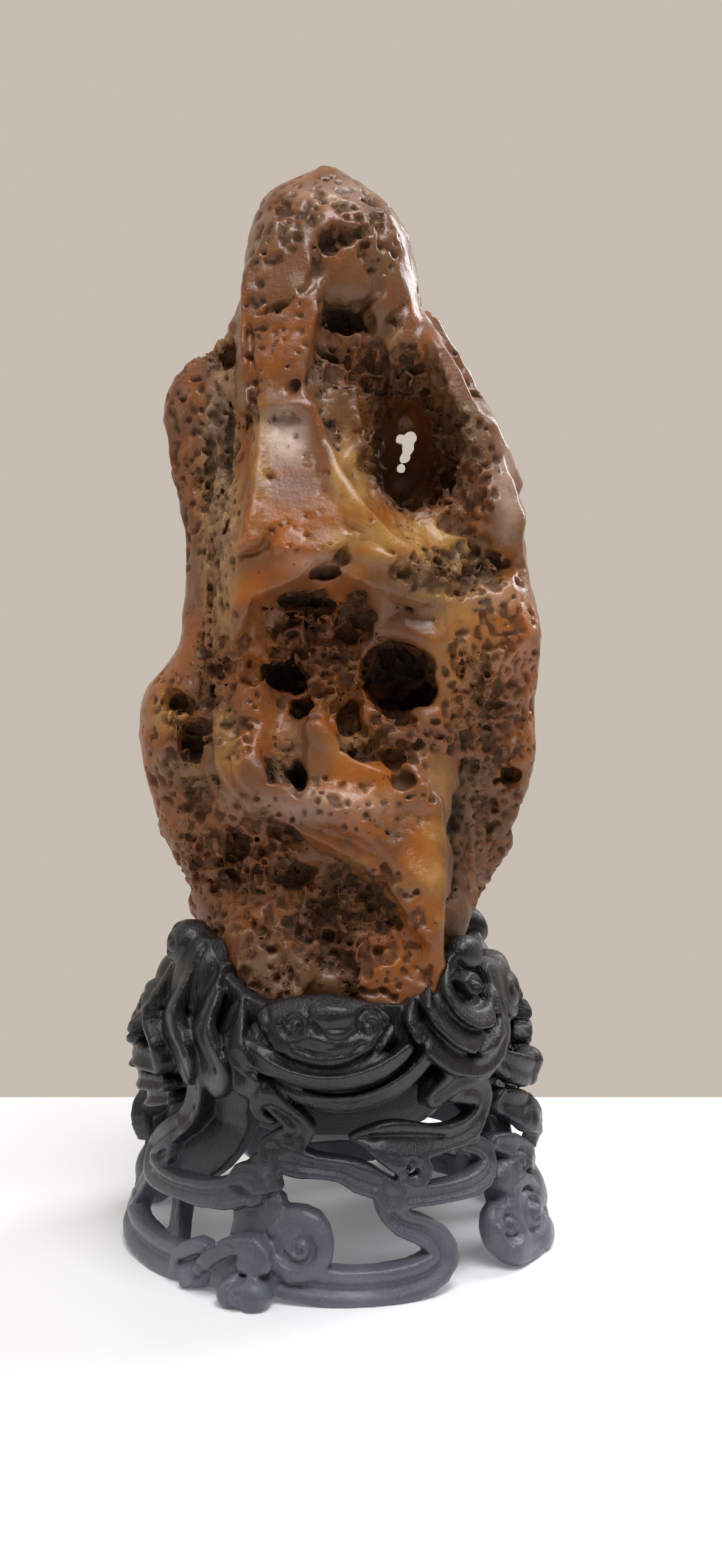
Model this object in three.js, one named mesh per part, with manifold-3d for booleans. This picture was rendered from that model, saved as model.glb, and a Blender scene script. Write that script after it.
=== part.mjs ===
// A scholars rock and the openwork stand that carries it, in millimetres, +Z up.
// The origin is on the table under the middle of the object, the front faces -Y and +X is to the right.
import * as THREE from 'three';
import { mergeVertices } from 'three/addons/utils/BufferGeometryUtils.js';
import { SimplexNoise } from 'three/addons/math/SimplexNoise.js';
import Module from 'manifold-3d';

// Driving dimensions.
const tableGap = 0; // the feet stand on z = 0
const restGap = 0.6; // clearance between the stone and the socket carved for it
const stoneRoughness = 1.1; // how far the stone's skin wanders from its smooth form
const sliver = 0.03; // edges shorter than this are closed up
const stoneTolerance = 0.45; // the stone's facets flatter than this are merged
const standTolerance = 0.8; // the same for the stand
const shellWaist = [[0, 78], [15, 75], [30, 71], [50, 65], [65, 67], [80, 67], [100, 62], [122, 58]];
// shellWaist: the stand's outer radius at each height; every scroll is carved on this shell

const wasm = await Module();
wasm.setup();

// A small repeatable random source, so that the noise is the same on every run.
const seeded = (state) => ({
  random: () => {
    state = (state * 1664525 + 1013904223) % 4294967296;
    return state / 4294967296;
  },
});
const noise = new SimplexNoise(seeded(11));

const toSolid = (geometry) => {
  const bare = new THREE.BufferGeometry();
  bare.setAttribute('position', geometry.getAttribute('position'));
  bare.setIndex(geometry.getIndex());
  const merged = mergeVertices(bare, 1e-3);
  const vertProperties = merged.getAttribute('position').array;
  const triVerts = new Uint32Array(merged.getIndex().array);
  return new wasm.Manifold(new wasm.Mesh({ numProp: 3, vertProperties, triVerts }));
};

const toGeometry = (solid) => {
  const { vertProperties, triVerts } = solid.getMesh();
  const geometry = new THREE.BufferGeometry();
  geometry.setAttribute('position', new THREE.BufferAttribute(vertProperties, 3));
  geometry.setIndex(new THREE.BufferAttribute(triVerts, 1));
  geometry.computeVertexNormals();
  return geometry;
};

// Joins solids one after another, clearing the slivers each join leaves.
const union = (solids) =>
  solids.reduce((whole, piece) => whole.add(piece).asOriginal().simplify(sliver));

// The main body of a solid, without slivers, loose crumbs or sealed bubbles left by the carving.
const mainBody = (solid, tolerance) =>
  solid.asOriginal().simplify(tolerance).decompose()
    .reduce((best, shell) => (shell.volume() > best.volume() ? shell : best));

// Moves every vertex of a geometry through a function of its position.
const reshape = (geometry, move) => {
  const place = geometry.getAttribute('position');
  const point = new THREE.Vector3();
  for (let i = 0; i < place.count; i += 1) {
    move(point.fromBufferAttribute(place, i));
    place.setXYZ(i, point.x, point.y, point.z);
  }
  return geometry;
};

// Each row is [height, left edge, right edge, front edge, back edge] of one level section of the body.
const stoneSections = [
  [66, -14, 14, -12, 14], [74, -30, 26, -24, 24], [88, -40, 40, -34, 32], [104, -47, 47, -37, 37],
  [120, -55, 54, -37, 40], [135, -60, 61, -36, 42], [151, -68, 68, -35, 44], [170, -73, 75, -34, 45],
  [190, -76, 77, -33, 45], [206, -71, 77, -32, 44], [219, -61, 77, -31, 43], [240, -57, 76, -30, 42],
  [262, -58, 73, -29, 41], [284, -63, 69, -27, 39], [300, -65, 62, -25, 37], [316, -65, 53, -23, 34],
  [330, -57, 46, -22, 31], [342, -42, 39, -24, 29], [355, -36, 34, -28, 27], [372, -34, 30, -29, 25],
  [386, -31, 23, -24, 21], [396, -24, 14, -15, 15], [402, -10, 5, -6, 7],
];
const stoneTop = 405;
const stoneUnderside = 2; // how far the underside bulges below the lowest section

// Swells and dips of the two faces: [x, z, half width, half height, depth, tilt]. A dip has a negative depth.
const frontRelief = [
  [-20, 332, 12, 27, 10, 3], [-14, 288, 13, 26, 19, -8], [-4, 252, 36, 15, 20, 4], [32, 250, 28, 10, 15, -25],
  [56, 306, 10, 30, 12, 30], [27, 290, 20, 26, -12, 8], [-3, 216, 22, 17, -5, 0], [48, 205, 20, 34, 12, 0],
  [-31, 214, 11, 30, 13, 0], [-2, 160, 46, 12, 20, -26], [8, 122, 34, 24, 14, 0], [20, 98, 19, 14, 9, 0],
  [60, 150, 13, 38, -10, 0], [-44, 275, 9, 50, -9, 0], [-58, 186, 15, 22, 9, 0], [-30, 134, 16, 12, -5, 0],
  [4, 372, 26, 20, 4, 0],
];
const backRelief = [
  [-8, 300, 26, 40, -8, 20], [30, 240, 22, 34, 9, -12], [-34, 214, 24, 28, 8, 0], [-2, 190, 14, 44, -9, 16],
  [40, 160, 26, 22, 7, 0], [-36, 146, 22, 30, -6, 0], [6, 366, 18, 24, 6, 0], [8, 116, 30, 20, 6, 0],
];

// Ovals cut into the stone: centre, half sizes, and tilt about X in degrees.
const stoneHollows = {
  window: { at: [26, -27, 290], size: [14, 27, 18], tilt: 10 },
  windowSlit: { at: [26, 12, 296], size: [6, 46, 10], tilt: 6 },
  roundHole: { at: [26, -40, 208], size: [14, 23, 15], tilt: 0 },
  longCave: { at: [-11, -44, 236], size: [12, 16, 6], tilt: 0 },
  darkCave: { at: [-18, -42, 207], size: [9, 16, 7], tilt: 0 },
  crescent: { at: [5, -38, 194], size: [5, 14, 9], tilt: 0 },
  slot: { at: [-14, -55, 171], size: [4, 14, 7], tilt: 0 },
  knobHole: { at: [-60, -38, 198], size: [5, 12, 5], tilt: 0 },
  crownHollow: { at: [2, -34, 378], size: [8, 11, 6], tilt: 0 },
  throat: { at: [4, -32, 346], size: [9, 14, 7], tilt: 0 },
  sideCleft: { at: [46, -38, 130], size: [4, 17, 30], tilt: 0 },
  backBasin: { at: [-24, 48, 262], size: [13, 18, 19], tilt: 0 },
  backPocket: { at: [30, 56, 196], size: [12, 18, 13], tilt: 0 },
};

const roughen = (point) => {
  const scale = 1 / 19;
  const push = stoneRoughness * noise.noise3d(point.x * scale, point.y * scale, point.z * scale);
  point.addScaledVector(point.clone().setZ(0).normalize(), push);
};

const reliefDepth = (relief, x, z) => relief.reduce((sum, [atX, atZ, halfWidth, halfHeight, depth, tilt]) => {
  const turn = THREE.MathUtils.degToRad(tilt);
  const along = ((x - atX) * Math.cos(turn) + (z - atZ) * Math.sin(turn)) / halfWidth;
  const up = ((z - atZ) * Math.cos(turn) - (x - atX) * Math.sin(turn)) / halfHeight;
  return sum + depth * Math.exp(-(along * along + up * up));
}, 0);

// The stone before its holes: level sections between the four edges of each row, then relief on both faces.
const stoneBody = (grow) => {
  const rows = stoneSections.map(([z, left, right, front, back]) =>
    [z, left - grow, right + grow, front - grow, back + grow]);
  const sides = new THREE.CatmullRomCurve3(rows.map(([z, left, right]) => new THREE.Vector3(left, right, z)));
  const depths = new THREE.CatmullRomCurve3(rows.map(([z, , , front, back]) => new THREE.Vector3(front, back, z)));
  const around = 52;
  const rings = 56;
  const squareness = 0.9; // 1 is an ellipse, less is boxier
  const boxed = (wave) => Math.sign(wave) * Math.abs(wave) ** squareness;
  return reshape(new THREE.SphereGeometry(1, around, rings), (p) => {
    const turn = Math.atan2(p.z, p.x);
    const ring = Math.round((Math.acos(THREE.MathUtils.clamp(p.y, -1, 1)) / Math.PI) * rings);
    if (ring === 0 || ring === rings) {
      p.set(-1, 0, ring === 0 ? stoneTop + grow : stoneSections[0][0] - stoneUnderside - grow);
      return;
    }
    const side = sides.getPoint((rings - 1 - ring) / (rings - 2));
    const depth = depths.getPoint((rings - 1 - ring) / (rings - 2));
    const across = boxed(Math.cos(turn));
    const along = boxed(Math.sin(turn));
    p.set((side.x + side.y) / 2 + (across * (side.y - side.x)) / 2,
      (depth.x + depth.y) / 2 - (along * (depth.y - depth.x)) / 2, side.z);
    const facing = THREE.MathUtils.smoothstep(Math.abs(along), 0, 0.7);
    p.y += facing * (along > 0 ? -reliefDepth(frontRelief, p.x, p.z) : reliefDepth(backRelief, p.x, p.z));
    roughen(p);
  });
};

const oval = ({ at, size, tilt }) => {
  const turn = new THREE.Euler(THREE.MathUtils.degToRad(tilt), 0, 0);
  return reshape(new THREE.IcosahedronGeometry(1, 2), (p) => {
    p.multiply(new THREE.Vector3(...size)).applyEuler(turn).add(new THREE.Vector3(...at));
    roughen(p);
  });
};

const hollowOut = (stone) =>
  Object.values(stoneHollows).reduce((rest, hollow) => rest.subtract(toSolid(oval(hollow))), stone);

// The stand's shell: its outer radius at a height.
const shellRadius = (height) => {
  const next = shellWaist.findIndex(([z]) => z >= height);
  if (next <= 0) return next === 0 ? shellWaist[0][1] : shellWaist[shellWaist.length - 1][1];
  const [[z0, r0], [z1, r1]] = [shellWaist[next - 1], shellWaist[next]];
  return THREE.MathUtils.mapLinear(height, z0, z1, r0, r1);
};

// A point of the shell: angle from the front in degrees, positive to the right, height, and how far inside it lies.
const onShell = (angle, height, inside = 0) => {
  const turn = THREE.MathUtils.degToRad(angle);
  const radius = shellRadius(height) - inside;
  return new THREE.Vector3(radius * Math.sin(turn), -radius * Math.cos(turn), height);
};

// Scrolls: stations are [angle, height, distance inside the shell], carried round the stand by `turn`.
const scrolls = {
  footRibbon: {
    wide: 10, thick: 8,
    path: [[-14, 5, 5], [-4, 4.5, 4], [6, 4.2, 4], [16, 4.6, 4], [24, 6.5, 4], [28, 11, 4], [26.5, 16, 4],
      [21, 20, 4], [17.5, 25, 4], [16.5, 31, 4]],
  },
  lowReach: {
    wide: 7.5, thick: 8,
    path: [[15, 32, 4], [24, 30.5, 4], [34, 29.5, 4], [44, 29.5, 4], [51, 32, 4], [53, 37, 5], [49, 42, 6], [43, 45, 8]],
  },
  highHook: {
    wide: 9, thick: 8,
    path: [[30, 66, 7], [38, 62, 4], [47, 60, 3], [54, 56.5, 3], [54, 51, 3], [47, 47.5, 3], [37, 47, 3], [27, 47.5, 3],
      [18, 47.5, 3], [12.5, 45.5, 3], [16, 41.5, 3], [22, 40.5, 3]],
  },
  crossBranch: {
    wide: 8, thick: 8,
    path: [[-19, 43, 4], [-10, 43, 4], [0, 41.5, 4], [8, 38, 4], [14, 34.5, 4], [18, 31, 4]],
  },
  curledStem: {
    wide: 8, thick: 8,
    path: [[-18, 70, 7], [-17, 62, 5], [-12.5, 57.5, 4], [-9, 53, 4], [-12, 48.5, 5], [-17, 45, 4], [-18.5, 39, 4],
      [-16, 33, 4]],
  },
  leftSling: {
    wide: 8, thick: 8,
    path: [[-50, 60, 9], [-58, 50, 4], [-68, 42, 3], [-73, 35, 3], [-64, 31, 3], [-52, 30, 3], [-40, 29.5, 3],
      [-30, 30, 3], [-19, 32, 4]],
  },
  leftShin: {
    wide: 9, thick: 8,
    path: [[-65, 30, 5], [-67, 22, 5], [-71, 14, 4], [-75, 6, 2], [-64, 4, 3], [-52, 4, 3], [-41, 4.2, 4], [-33, 5, 5]],
  },
};

const slings = {
  broadLeg: { wide: 24, thick: 9, path: [[-40, 72, 9], [-42, 58, 11], [-47, 47, 12], [-56, 37, 11], [-62, 30, 8]] },
  kneePlate: { wide: 17, thick: 8, path: [[-18, 36, 5], [-18, 28, 6], [-18, 18, 6], [-19, 9, 6]] },
  farLeg: { wide: 15, thick: 9, path: [[76, 68, 8], [77, 54, 9], [74, 40, 8], [70, 26, 8], [68, 12, 8]] },
};

// Rounded cloud lobes: angle, height, inside, and half sizes across, outward and up.
const lobes = {
  kneeCloud: [[-35, 6, 6, 10, 6, 5.6], [-24, 9, 4, 10, 8, 9], [-19, 4.5, -1, 8.5, 7, 6.5], [-8, 16, 4, 9, 5, 9]],
  farFoot: [[61, 12, 8, 11, 9, 12], [71, 5, 6, 12, 8, 7], [77, 20, 5, 8, 7, 9]],
  frontCloud: [[-18, 74, 3, 12, 7, 9], [-9, 87, 3, 13, 6, 10], [11, 87, 3, 13, 6, 10], [2, 72, 4, 20, 6, 9]],
  rightCurl: [[53, 88, 7, 17, 12, 24], [44, 78, 2, 15, 7, 10], [28, 84, 4, 12, 7, 14]],
  leftFolds: [[-57, 91, 7, 19, 12, 30], [-36, 90, 5, 12, 9, 22], [-77, 84, 1, 11, 10, 16], [-80, 64, -3, 10, 10, 7]],
  rightClouds: [[82, 57, -6, 9, 8, 6], [78, 44, -3, 10, 9, 7]],
};

// A flattened bar swept along the shell, its broad face always turned outward.
const ribbon = ({ wide, thick, path }, turn) => {
  const stations = path.map(([angle, height, inside]) => onShell(angle + turn, height, inside));
  const curve = new THREE.CatmullRomCurve3(stations);
  const steps = Math.round(curve.getLength() / 7);
  return reshape(new THREE.CylinderGeometry(0.5, 0.5, 1, 6, steps), (p) => {
    const along = p.y + 0.5;
    const centre = curve.getPointAt(along);
    const outward = centre.clone().setZ(0).normalize();
    const across = curve.getTangentAt(along).cross(outward).normalize();
    const face = across.clone().cross(curve.getTangentAt(along)).normalize();
    p.copy(centre.addScaledVector(across, p.x * wide).addScaledVector(face, p.z * thick));
  });
};

const lobe = ([angle, height, inside, across, outward, up], turn) => {
  const centre = onShell(angle + turn, height, inside);
  const spin = new THREE.Euler(0, 0, THREE.MathUtils.degToRad(angle + turn));
  return reshape(new THREE.IcosahedronGeometry(1, 2), (p) => {
    p.multiply(new THREE.Vector3(across, outward, up)).applyEuler(spin).add(centre);
  });
};

// The bowl that takes the stone, a turned form with its floor hanging below the collar.
const bowlProfile = [[0, 37], [20, 38], [34, 44], [46, 54], [54, 64], [60, 76], [61, 88], [57, 95], [50, 96], [38, 90],
  [24, 84], [0, 82]];
const bowl = () => {
  const outline = bowlProfile.map(([radius, height]) => new THREE.Vector2(radius, height));
  return new THREE.LatheGeometry(outline, 40).rotateX(Math.PI / 2);
};

const makeStand = (stoneRoom) => {
  const turns = [0, 180];
  const bars = turns.flatMap((turn) =>
    [...Object.values(scrolls), ...Object.values(slings)].map((bar) => toSolid(ribbon(bar, turn))));
  const clouds = turns.flatMap((turn) =>
    Object.values(lobes).flat().map((row) => toSolid(lobe(row, turn))));
  const block = mainBody(union([toSolid(bowl()), ...bars, ...clouds]), standTolerance);
  const aboveTable = toSolid(new THREE.BoxGeometry(300, 300, 300).translate(0, 0, 150 + tableGap));
  return block.intersect(aboveTable).subtract(stoneRoom);
};

const named = (name, solid, colour, roughness) => {
  const material = new THREE.MeshStandardMaterial({ color: colour, roughness, metalness: 0 });
  const mesh = new THREE.Mesh(toGeometry(solid), material);
  mesh.name = name;
  return mesh;
};

const stone = mainBody(hollowOut(toSolid(stoneBody(0))), stoneTolerance);
const stand = mainBody(makeStand(toSolid(stoneBody(restGap))), standTolerance / 5);

const scholarsRock = new THREE.Group();
scholarsRock.add(named('stone', stone, 0x9a5f3f, 0.45), named('stand', stand, 0x15151a, 0.35));

// Centre the whole object over the origin.
const box = new THREE.Box3().setFromObject(scholarsRock);
const centre = box.getCenter(new THREE.Vector3());
scholarsRock.position.set(-centre.x, -centre.y, -box.min.z);

export default scholarsRock;
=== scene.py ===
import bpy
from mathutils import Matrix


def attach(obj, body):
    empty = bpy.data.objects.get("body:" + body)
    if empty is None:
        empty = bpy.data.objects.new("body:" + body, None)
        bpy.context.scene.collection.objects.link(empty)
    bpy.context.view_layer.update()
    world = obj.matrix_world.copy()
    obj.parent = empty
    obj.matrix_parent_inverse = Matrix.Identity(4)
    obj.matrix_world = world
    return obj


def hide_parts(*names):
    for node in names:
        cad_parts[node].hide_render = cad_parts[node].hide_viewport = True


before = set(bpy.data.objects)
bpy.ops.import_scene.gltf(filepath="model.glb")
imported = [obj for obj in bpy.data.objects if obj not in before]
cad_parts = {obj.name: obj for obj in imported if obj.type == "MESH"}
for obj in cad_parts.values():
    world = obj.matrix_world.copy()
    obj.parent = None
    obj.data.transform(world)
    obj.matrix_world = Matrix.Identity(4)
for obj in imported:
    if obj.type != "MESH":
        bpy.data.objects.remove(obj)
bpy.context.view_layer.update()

import copy
import math
import bpy
import numpy as np
from mathutils import Euler

# A scholars rock in its carved stand. The sculpting is done in millimetres on grids of distances,
# and the finished skins are turned into meshes in metres. The front faces -Y.

print("frame loaded")

viewPoint = {
    "eye": (10.0, -470.0, 168.0),  # mm, the eye looks level along +Y
    "lens": 28.1,
}


class Clay:
    far = 40.0  # mm, the distance that an empty grid starts with

    def __init__(self, low, high, step):
        self.step = step
        self.low = np.array(low, float)
        self.axes = [np.arange(a, b + step, step, dtype=np.float32) for a, b in zip(low, high)]
        self.field = np.full([len(a) for a in self.axes], self.far, np.float32)

    def grab(self, low, high):  # the part of the block inside a box, with its coordinates
        spans = []
        for axis, a, b in zip(self.axes, low, high):
            first = int(np.clip((a - axis[0]) / self.step, 0, len(axis)))
            last = int(np.clip((b - axis[0]) / self.step + 2, first, len(axis)))
            spans.append(slice(first, last))
        x, y, z = (axis[span] for axis, span in zip(self.axes, spans))
        return tuple(spans), x[:, None, None], y[None, :, None], z[None, None, :]

    def add(self, shape, soft=1.5):
        low, high, distance = shape
        spans, x, y, z = self.grab(low - soft - 1, high + soft + 1)
        if self.field[spans].size:
            self.field[spans] = blend(self.field[spans], distance(x, y, z), soft)

    def cut(self, shape, soft=1.5, warp=None):
        low, high, distance = shape
        spans, x, y, z = self.grab(low - soft - 2, high + soft + 2)
        if self.field[spans].size:
            away = distance(x, y, z) if warp is None else distance(x, y, z) + warp[spans]
            self.field[spans] = -blend(-self.field[spans], away, soft)

    def read(self, points):  # the distance at each point, between grid points too
        return readGrid(self.field, self.low, self.step, points)


def readGrid(values, low, step, points):
    place = (np.asarray(points, float) - low) / step
    limit = np.array(values.shape) - 1.001
    place = np.clip(place, 0, limit)
    base = place.astype(int)
    part = place - base
    total = 0
    for corner in range(8):
        offset = [(corner >> bit) & 1 for bit in range(3)]
        weight = np.prod([part[:, n] if offset[n] else 1 - part[:, n] for n in range(3)], axis=0)
        i, j, k = (base[:, n] + offset[n] for n in range(3))
        total = total + weight * values[i, j, k]
    return total


def blend(a, b, soft):  # joins two distances with a fillet of about the size of soft
    mix = np.clip(0.5 + 0.5 * (b - a) / soft, 0, 1)
    return b + (a - b) * mix - soft * mix * (1 - mix)


def ramp(value, start, end):
    t = np.clip((value - start) / (end - start), 0, 1)
    return t * t * (3 - 2 * t)


def smoothCurve(points, spacing):  # a Catmull-Rom curve through rows of any width, sampled evenly enough
    rows = np.array(points, float)
    padded = np.vstack([2 * rows[0] - rows[1], rows, 2 * rows[-1] - rows[-2]])
    out = []
    for i in range(1, len(padded) - 2):
        p0, p1, p2, p3 = padded[i - 1:i + 3]
        count = max(2, int(np.linalg.norm((p2 - p1)[:3]) / spacing))
        t = np.linspace(0, 1, count, endpoint=False)[:, None]
        out.append(0.5 * (2 * p1 + (p2 - p0) * t + (2 * p0 - 5 * p1 + 4 * p2 - p3) * t ** 2
                          + (3 * p1 - p0 - 3 * p2 + p3) * t ** 3))
    return np.vstack(out + [rows[-1:]])


def oval(at, size, turn=(0, 0, 0)):
    spin = np.array(Euler([math.radians(a) for a in turn]).to_matrix())
    at, size = np.array(at, float), np.array(size, float)
    reach = np.sqrt(((spin * size) ** 2).sum(axis=1))

    def distance(x, y, z):
        x, y, z = x - at[0], y - at[1], z - at[2]
        near, far = 1e-6, 1e-6
        for k in range(3):
            along = spin[0, k] * x + spin[1, k] * y + spin[2, k] * z
            near = near + (along / size[k]) ** 2
            far = far + (along / size[k] ** 2) ** 2
        near = np.sqrt(near)
        return near * (near - 1) / np.sqrt(far)

    return at - reach, at + reach, distance


def stroke(points, radii):  # a rope through points, each with its own radius
    points = np.array(points, float)
    radii = np.broadcast_to(np.array(radii, float), len(points))

    def distance(x, y, z):
        best = None
        for a, b, ra, rb in zip(points, points[1:], radii, radii[1:]):
            run = b - a
            length = max(float(run @ run), 1e-6)
            t = np.clip(((x - a[0]) * run[0] + (y - a[1]) * run[1] + (z - a[2]) * run[2]) / length, 0, 1)
            away = np.sqrt((x - a[0] - t * run[0]) ** 2 + (y - a[1] - t * run[1]) ** 2
                           + (z - a[2] - t * run[2]) ** 2) - (ra + (rb - ra) * t)
            best = away if best is None else np.minimum(best, away)
        return best

    most = radii.max()
    return points.min(axis=0) - most, points.max(axis=0) + most, distance


def cloudNoise(axes, cell, seed):  # smooth noise from -1 to 1 on a whole grid, with cells of the given sizes
    dice = np.random.default_rng(seed)
    steps = [(axis - axis[0]) / size for axis, size in zip(axes, np.broadcast_to(cell, 3))]
    out = dice.uniform(-1, 1, [int(s[-1]) + 2 for s in steps]).astype(np.float32)
    for k, s in enumerate(steps):
        base = s.astype(int)
        t = (s - base).astype(np.float32)
        t = t * t * (3 - 2 * t)
        t = t.reshape([-1 if j == k else 1 for j in range(3)])
        out = np.take(out, base, axis=k) * (1 - t) + np.take(out, base + 1, axis=k) * t
    return out


def skinOf(clay):  # one vertex in every grid cell that the surface passes through, one quad across every edge
    field = clay.field
    inside = field < 0
    size = [n - 1 for n in field.shape]
    corners = [(i, j, k) for i in (0, 1) for j in (0, 1) for k in (0, 1)]
    count = np.zeros(size, np.uint8)
    for i, j, k in corners:
        count += inside[i:i + size[0], j:j + size[1], k:k + size[2]]
    cells = np.argwhere((count > 0) & (count < 8))
    number = np.full(size, -1, np.int32)
    number[tuple(cells.T)] = np.arange(len(cells))
    values = {c: field[cells[:, 0] + c[0], cells[:, 1] + c[1], cells[:, 2] + c[2]] for c in corners}
    total = np.zeros((len(cells), 3))
    hits = np.zeros(len(cells))
    for a in corners:
        for k in range(3):
            if a[k]:
                continue
            b = tuple(a[j] + (j == k) for j in range(3))
            crossed = (values[a] < 0) != (values[b] < 0)
            t = values[a] / np.where(crossed, values[a] - values[b], 1)
            spot = np.array(a, float) + np.outer(t, np.eye(3)[k])
            total += np.where(crossed[:, None], spot, 0)
            hits += crossed
    points = clay.low + clay.step * (cells + total / hits[:, None])
    quads = []
    for k in range(3):
        p, q = (k + 1) % 3, (k + 2) % 3
        ahead = [slice(None)] * 3
        ahead[k] = slice(1, None)
        behind = [slice(None)] * 3
        behind[k] = slice(None, -1)
        change = inside[tuple(behind)] != inside[tuple(ahead)]
        at = np.argwhere(change)
        at = at[(at[:, p] > 0) & (at[:, q] > 0) & (at[:, p] < size[p]) & (at[:, q] < size[q])]
        outward = inside[tuple(at.T)]
        ring = []
        for dp, dq in ((1, 1), (0, 1), (0, 0), (1, 0)):
            cell = at.copy()
            cell[:, p] -= dp
            cell[:, q] -= dq
            ring.append(number[tuple(cell.T)])
        ring = np.array(ring).T
        ring[~outward] = ring[~outward][:, ::-1]
        quads.append(ring)
    quads = np.vstack(quads)
    quads = quads[(quads >= 0).all(axis=1)]
    return points, quads


def relax(points, quads, rounds):  # evens out the steps that the grid leaves
    ends = np.concatenate([quads[:, [0, 1]], quads[:, [1, 2]], quads[:, [2, 3]], quads[:, [3, 0]]])
    degree = np.bincount(ends.ravel(), minlength=len(points))[:, None]
    for _ in range(rounds):
        pulls = []
        for k in range(3):
            one, other = points[ends[:, 1], k], points[ends[:, 0], k]
            ahead, back = np.bincount(ends[:, 0], one, len(points)), np.bincount(ends[:, 1], other, len(points))
            pulls.append(ahead + back)
        pull = np.stack(pulls, axis=1)
        points = points * 0.5 + 0.5 * pull / degree
    return points


def makePiece(name, clay, mostTriangles, smoothing):
    points, quads = skinOf(clay)
    points = relax(points, quads, smoothing)
    mesh = bpy.data.meshes.new(name)
    mesh.vertices.add(len(points))
    mesh.vertices.foreach_set("co", (points / 1000).astype(np.float32).ravel())
    mesh.loops.add(len(quads) * 4)
    mesh.loops.foreach_set("vertex_index", quads.astype(np.int32).ravel())
    mesh.polygons.add(len(quads))
    mesh.polygons.foreach_set("loop_start", np.arange(0, len(quads) * 4, 4, dtype=np.int32))
    mesh.update(calc_edges=True)
    mesh.validate()
    piece = bpy.data.objects.new(name, mesh)
    bpy.context.scene.collection.objects.link(piece)
    thin = piece.modifiers.new("thin", "DECIMATE")
    thin.ratio = min(1, mostTriangles / (2 * len(quads)))
    bpy.context.view_layer.objects.active = piece
    bpy.ops.object.modifier_apply(modifier=thin.name)
    dropCrumbs(piece)
    piece.data.polygons.foreach_set("use_smooth", [True] * len(piece.data.polygons))
    print(name, len(quads) * 2, "triangles thinned to", sum(len(p.vertices) - 2 for p in piece.data.polygons))
    return piece


def dropCrumbs(piece):  # keeps only the largest connected skin
    mesh = piece.data
    edges = np.empty(len(mesh.edges) * 2, np.int32)
    mesh.edges.foreach_get("vertices", edges)
    edges = edges.reshape(-1, 2)
    label = np.arange(len(mesh.vertices))
    while True:
        low = np.minimum(label[edges[:, 0]], label[edges[:, 1]])
        fresh = label.copy()
        np.minimum.at(fresh, edges[:, 0], low)
        np.minimum.at(fresh, edges[:, 1], low)
        fresh = fresh[fresh]
        if (fresh == label).all():
            break
        label = fresh
    main = np.bincount(label).argmax()
    if (label == main).all():
        return
    kept = bpy.data.meshes.new(mesh.name)
    places = np.empty(len(mesh.vertices) * 3, np.float32)
    mesh.vertices.foreach_get("co", places)
    places = places.reshape(-1, 3)
    number = np.cumsum(label == main) - 1
    faces = [[number[v] for v in face.vertices] for face in mesh.polygons if label[face.vertices[0]] == main]
    kept.from_pydata(places[label == main].tolist(), [], faces)
    kept.update()
    piece.data = kept
    bpy.data.meshes.remove(mesh)


def pointsOf(piece):
    places = np.empty(len(piece.data.vertices) * 3, np.float32)
    piece.data.vertices.foreach_get("co", places)
    return places.reshape(-1, 3) * 1000


def paintMask(piece, name, values):
    layer = piece.data.attributes.new(name, "FLOAT", "POINT")
    layer.data.foreach_set("value", np.asarray(values, np.float32))


# The distances averaged over reach, on a half-size grid and in parts of reach: below 0 in hollows.
def averageAround(clay, reach, limit):
    coarse = np.clip(clay.field, -limit, limit)
    even = [n // 2 * 2 for n in coarse.shape]
    coarse = coarse[:even[0], :even[1], :even[2]]
    coarse = coarse.reshape(even[0] // 2, 2, even[1] // 2, 2, even[2] // 2, 2).mean(axis=(1, 3, 5))
    half = max(1, int(round(reach / (2 * clay.step))))
    width = 2 * half + 1
    for k in range(3):
        for _ in range(2):
            pad = [(half + 1, half) if j == k else (0, 0) for j in range(3)]
            total = np.cumsum(np.pad(coarse, pad, mode="edge"), axis=k)
            upper = np.take(total, range(width, total.shape[k]), axis=k)
            lower = np.take(total, range(0, total.shape[k] - width), axis=k)
            coarse = (upper - lower) / width
    return coarse / reach


def exposure(clay, points, reach, limit):  # above 0 on ridges and below 0 in hollows
    around = averageAround(clay, reach, limit)
    return readGrid(around, clay.low + clay.step / 2, clay.step * 2, points)


def addNode(tree, kind, inputs=None, **settings):
    made = tree.nodes.new(kind)
    for key, value in settings.items():
        setattr(made, key, value)
    for key, value in (inputs or {}).items():
        if isinstance(value, bpy.types.NodeSocket):
            tree.links.new(value, made.inputs[key])
        else:
            made.inputs[key].default_value = value
    return made


def maths(tree, operation, a, b=0.0, c=0.0, clamp=False):
    made = addNode(tree, "ShaderNodeMath", {0: a, 1: b, 2: c}, operation=operation, use_clamp=clamp)
    return made.outputs[0]


def fade(tree, value, start, end, low=0.0, high=1.0):  # value from start to end becomes low to high
    limits = {"Value": value, "From Min": start, "From Max": end, "To Min": low, "To Max": high}
    return addNode(tree, "ShaderNodeMapRange", limits, interpolation_type="SMOOTHSTEP").outputs["Result"]


def mixColour(tree, amount, a, b):
    made = addNode(tree, "ShaderNodeMix", data_type="RGBA")
    for socket, value in ((made.inputs[0], amount), (made.inputs[6], a), (made.inputs[7], b)):
        if isinstance(value, bpy.types.NodeSocket):
            tree.links.new(value, socket)
        else:
            socket.default_value = value
    return made.outputs[2]


def noiseOf(tree, place, scale, detail=3.0, rough=0.55, distortion=0.0):
    made = addNode(tree, "ShaderNodeTexNoise", {"Vector": place, "Scale": scale, "Detail": detail,
                                                "Roughness": rough, "Distortion": distortion})
    return made.outputs["Fac"]


def maskOf(tree, name):
    return addNode(tree, "ShaderNodeAttribute", attribute_name=name, attribute_type="GEOMETRY").outputs["Fac"]


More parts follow.
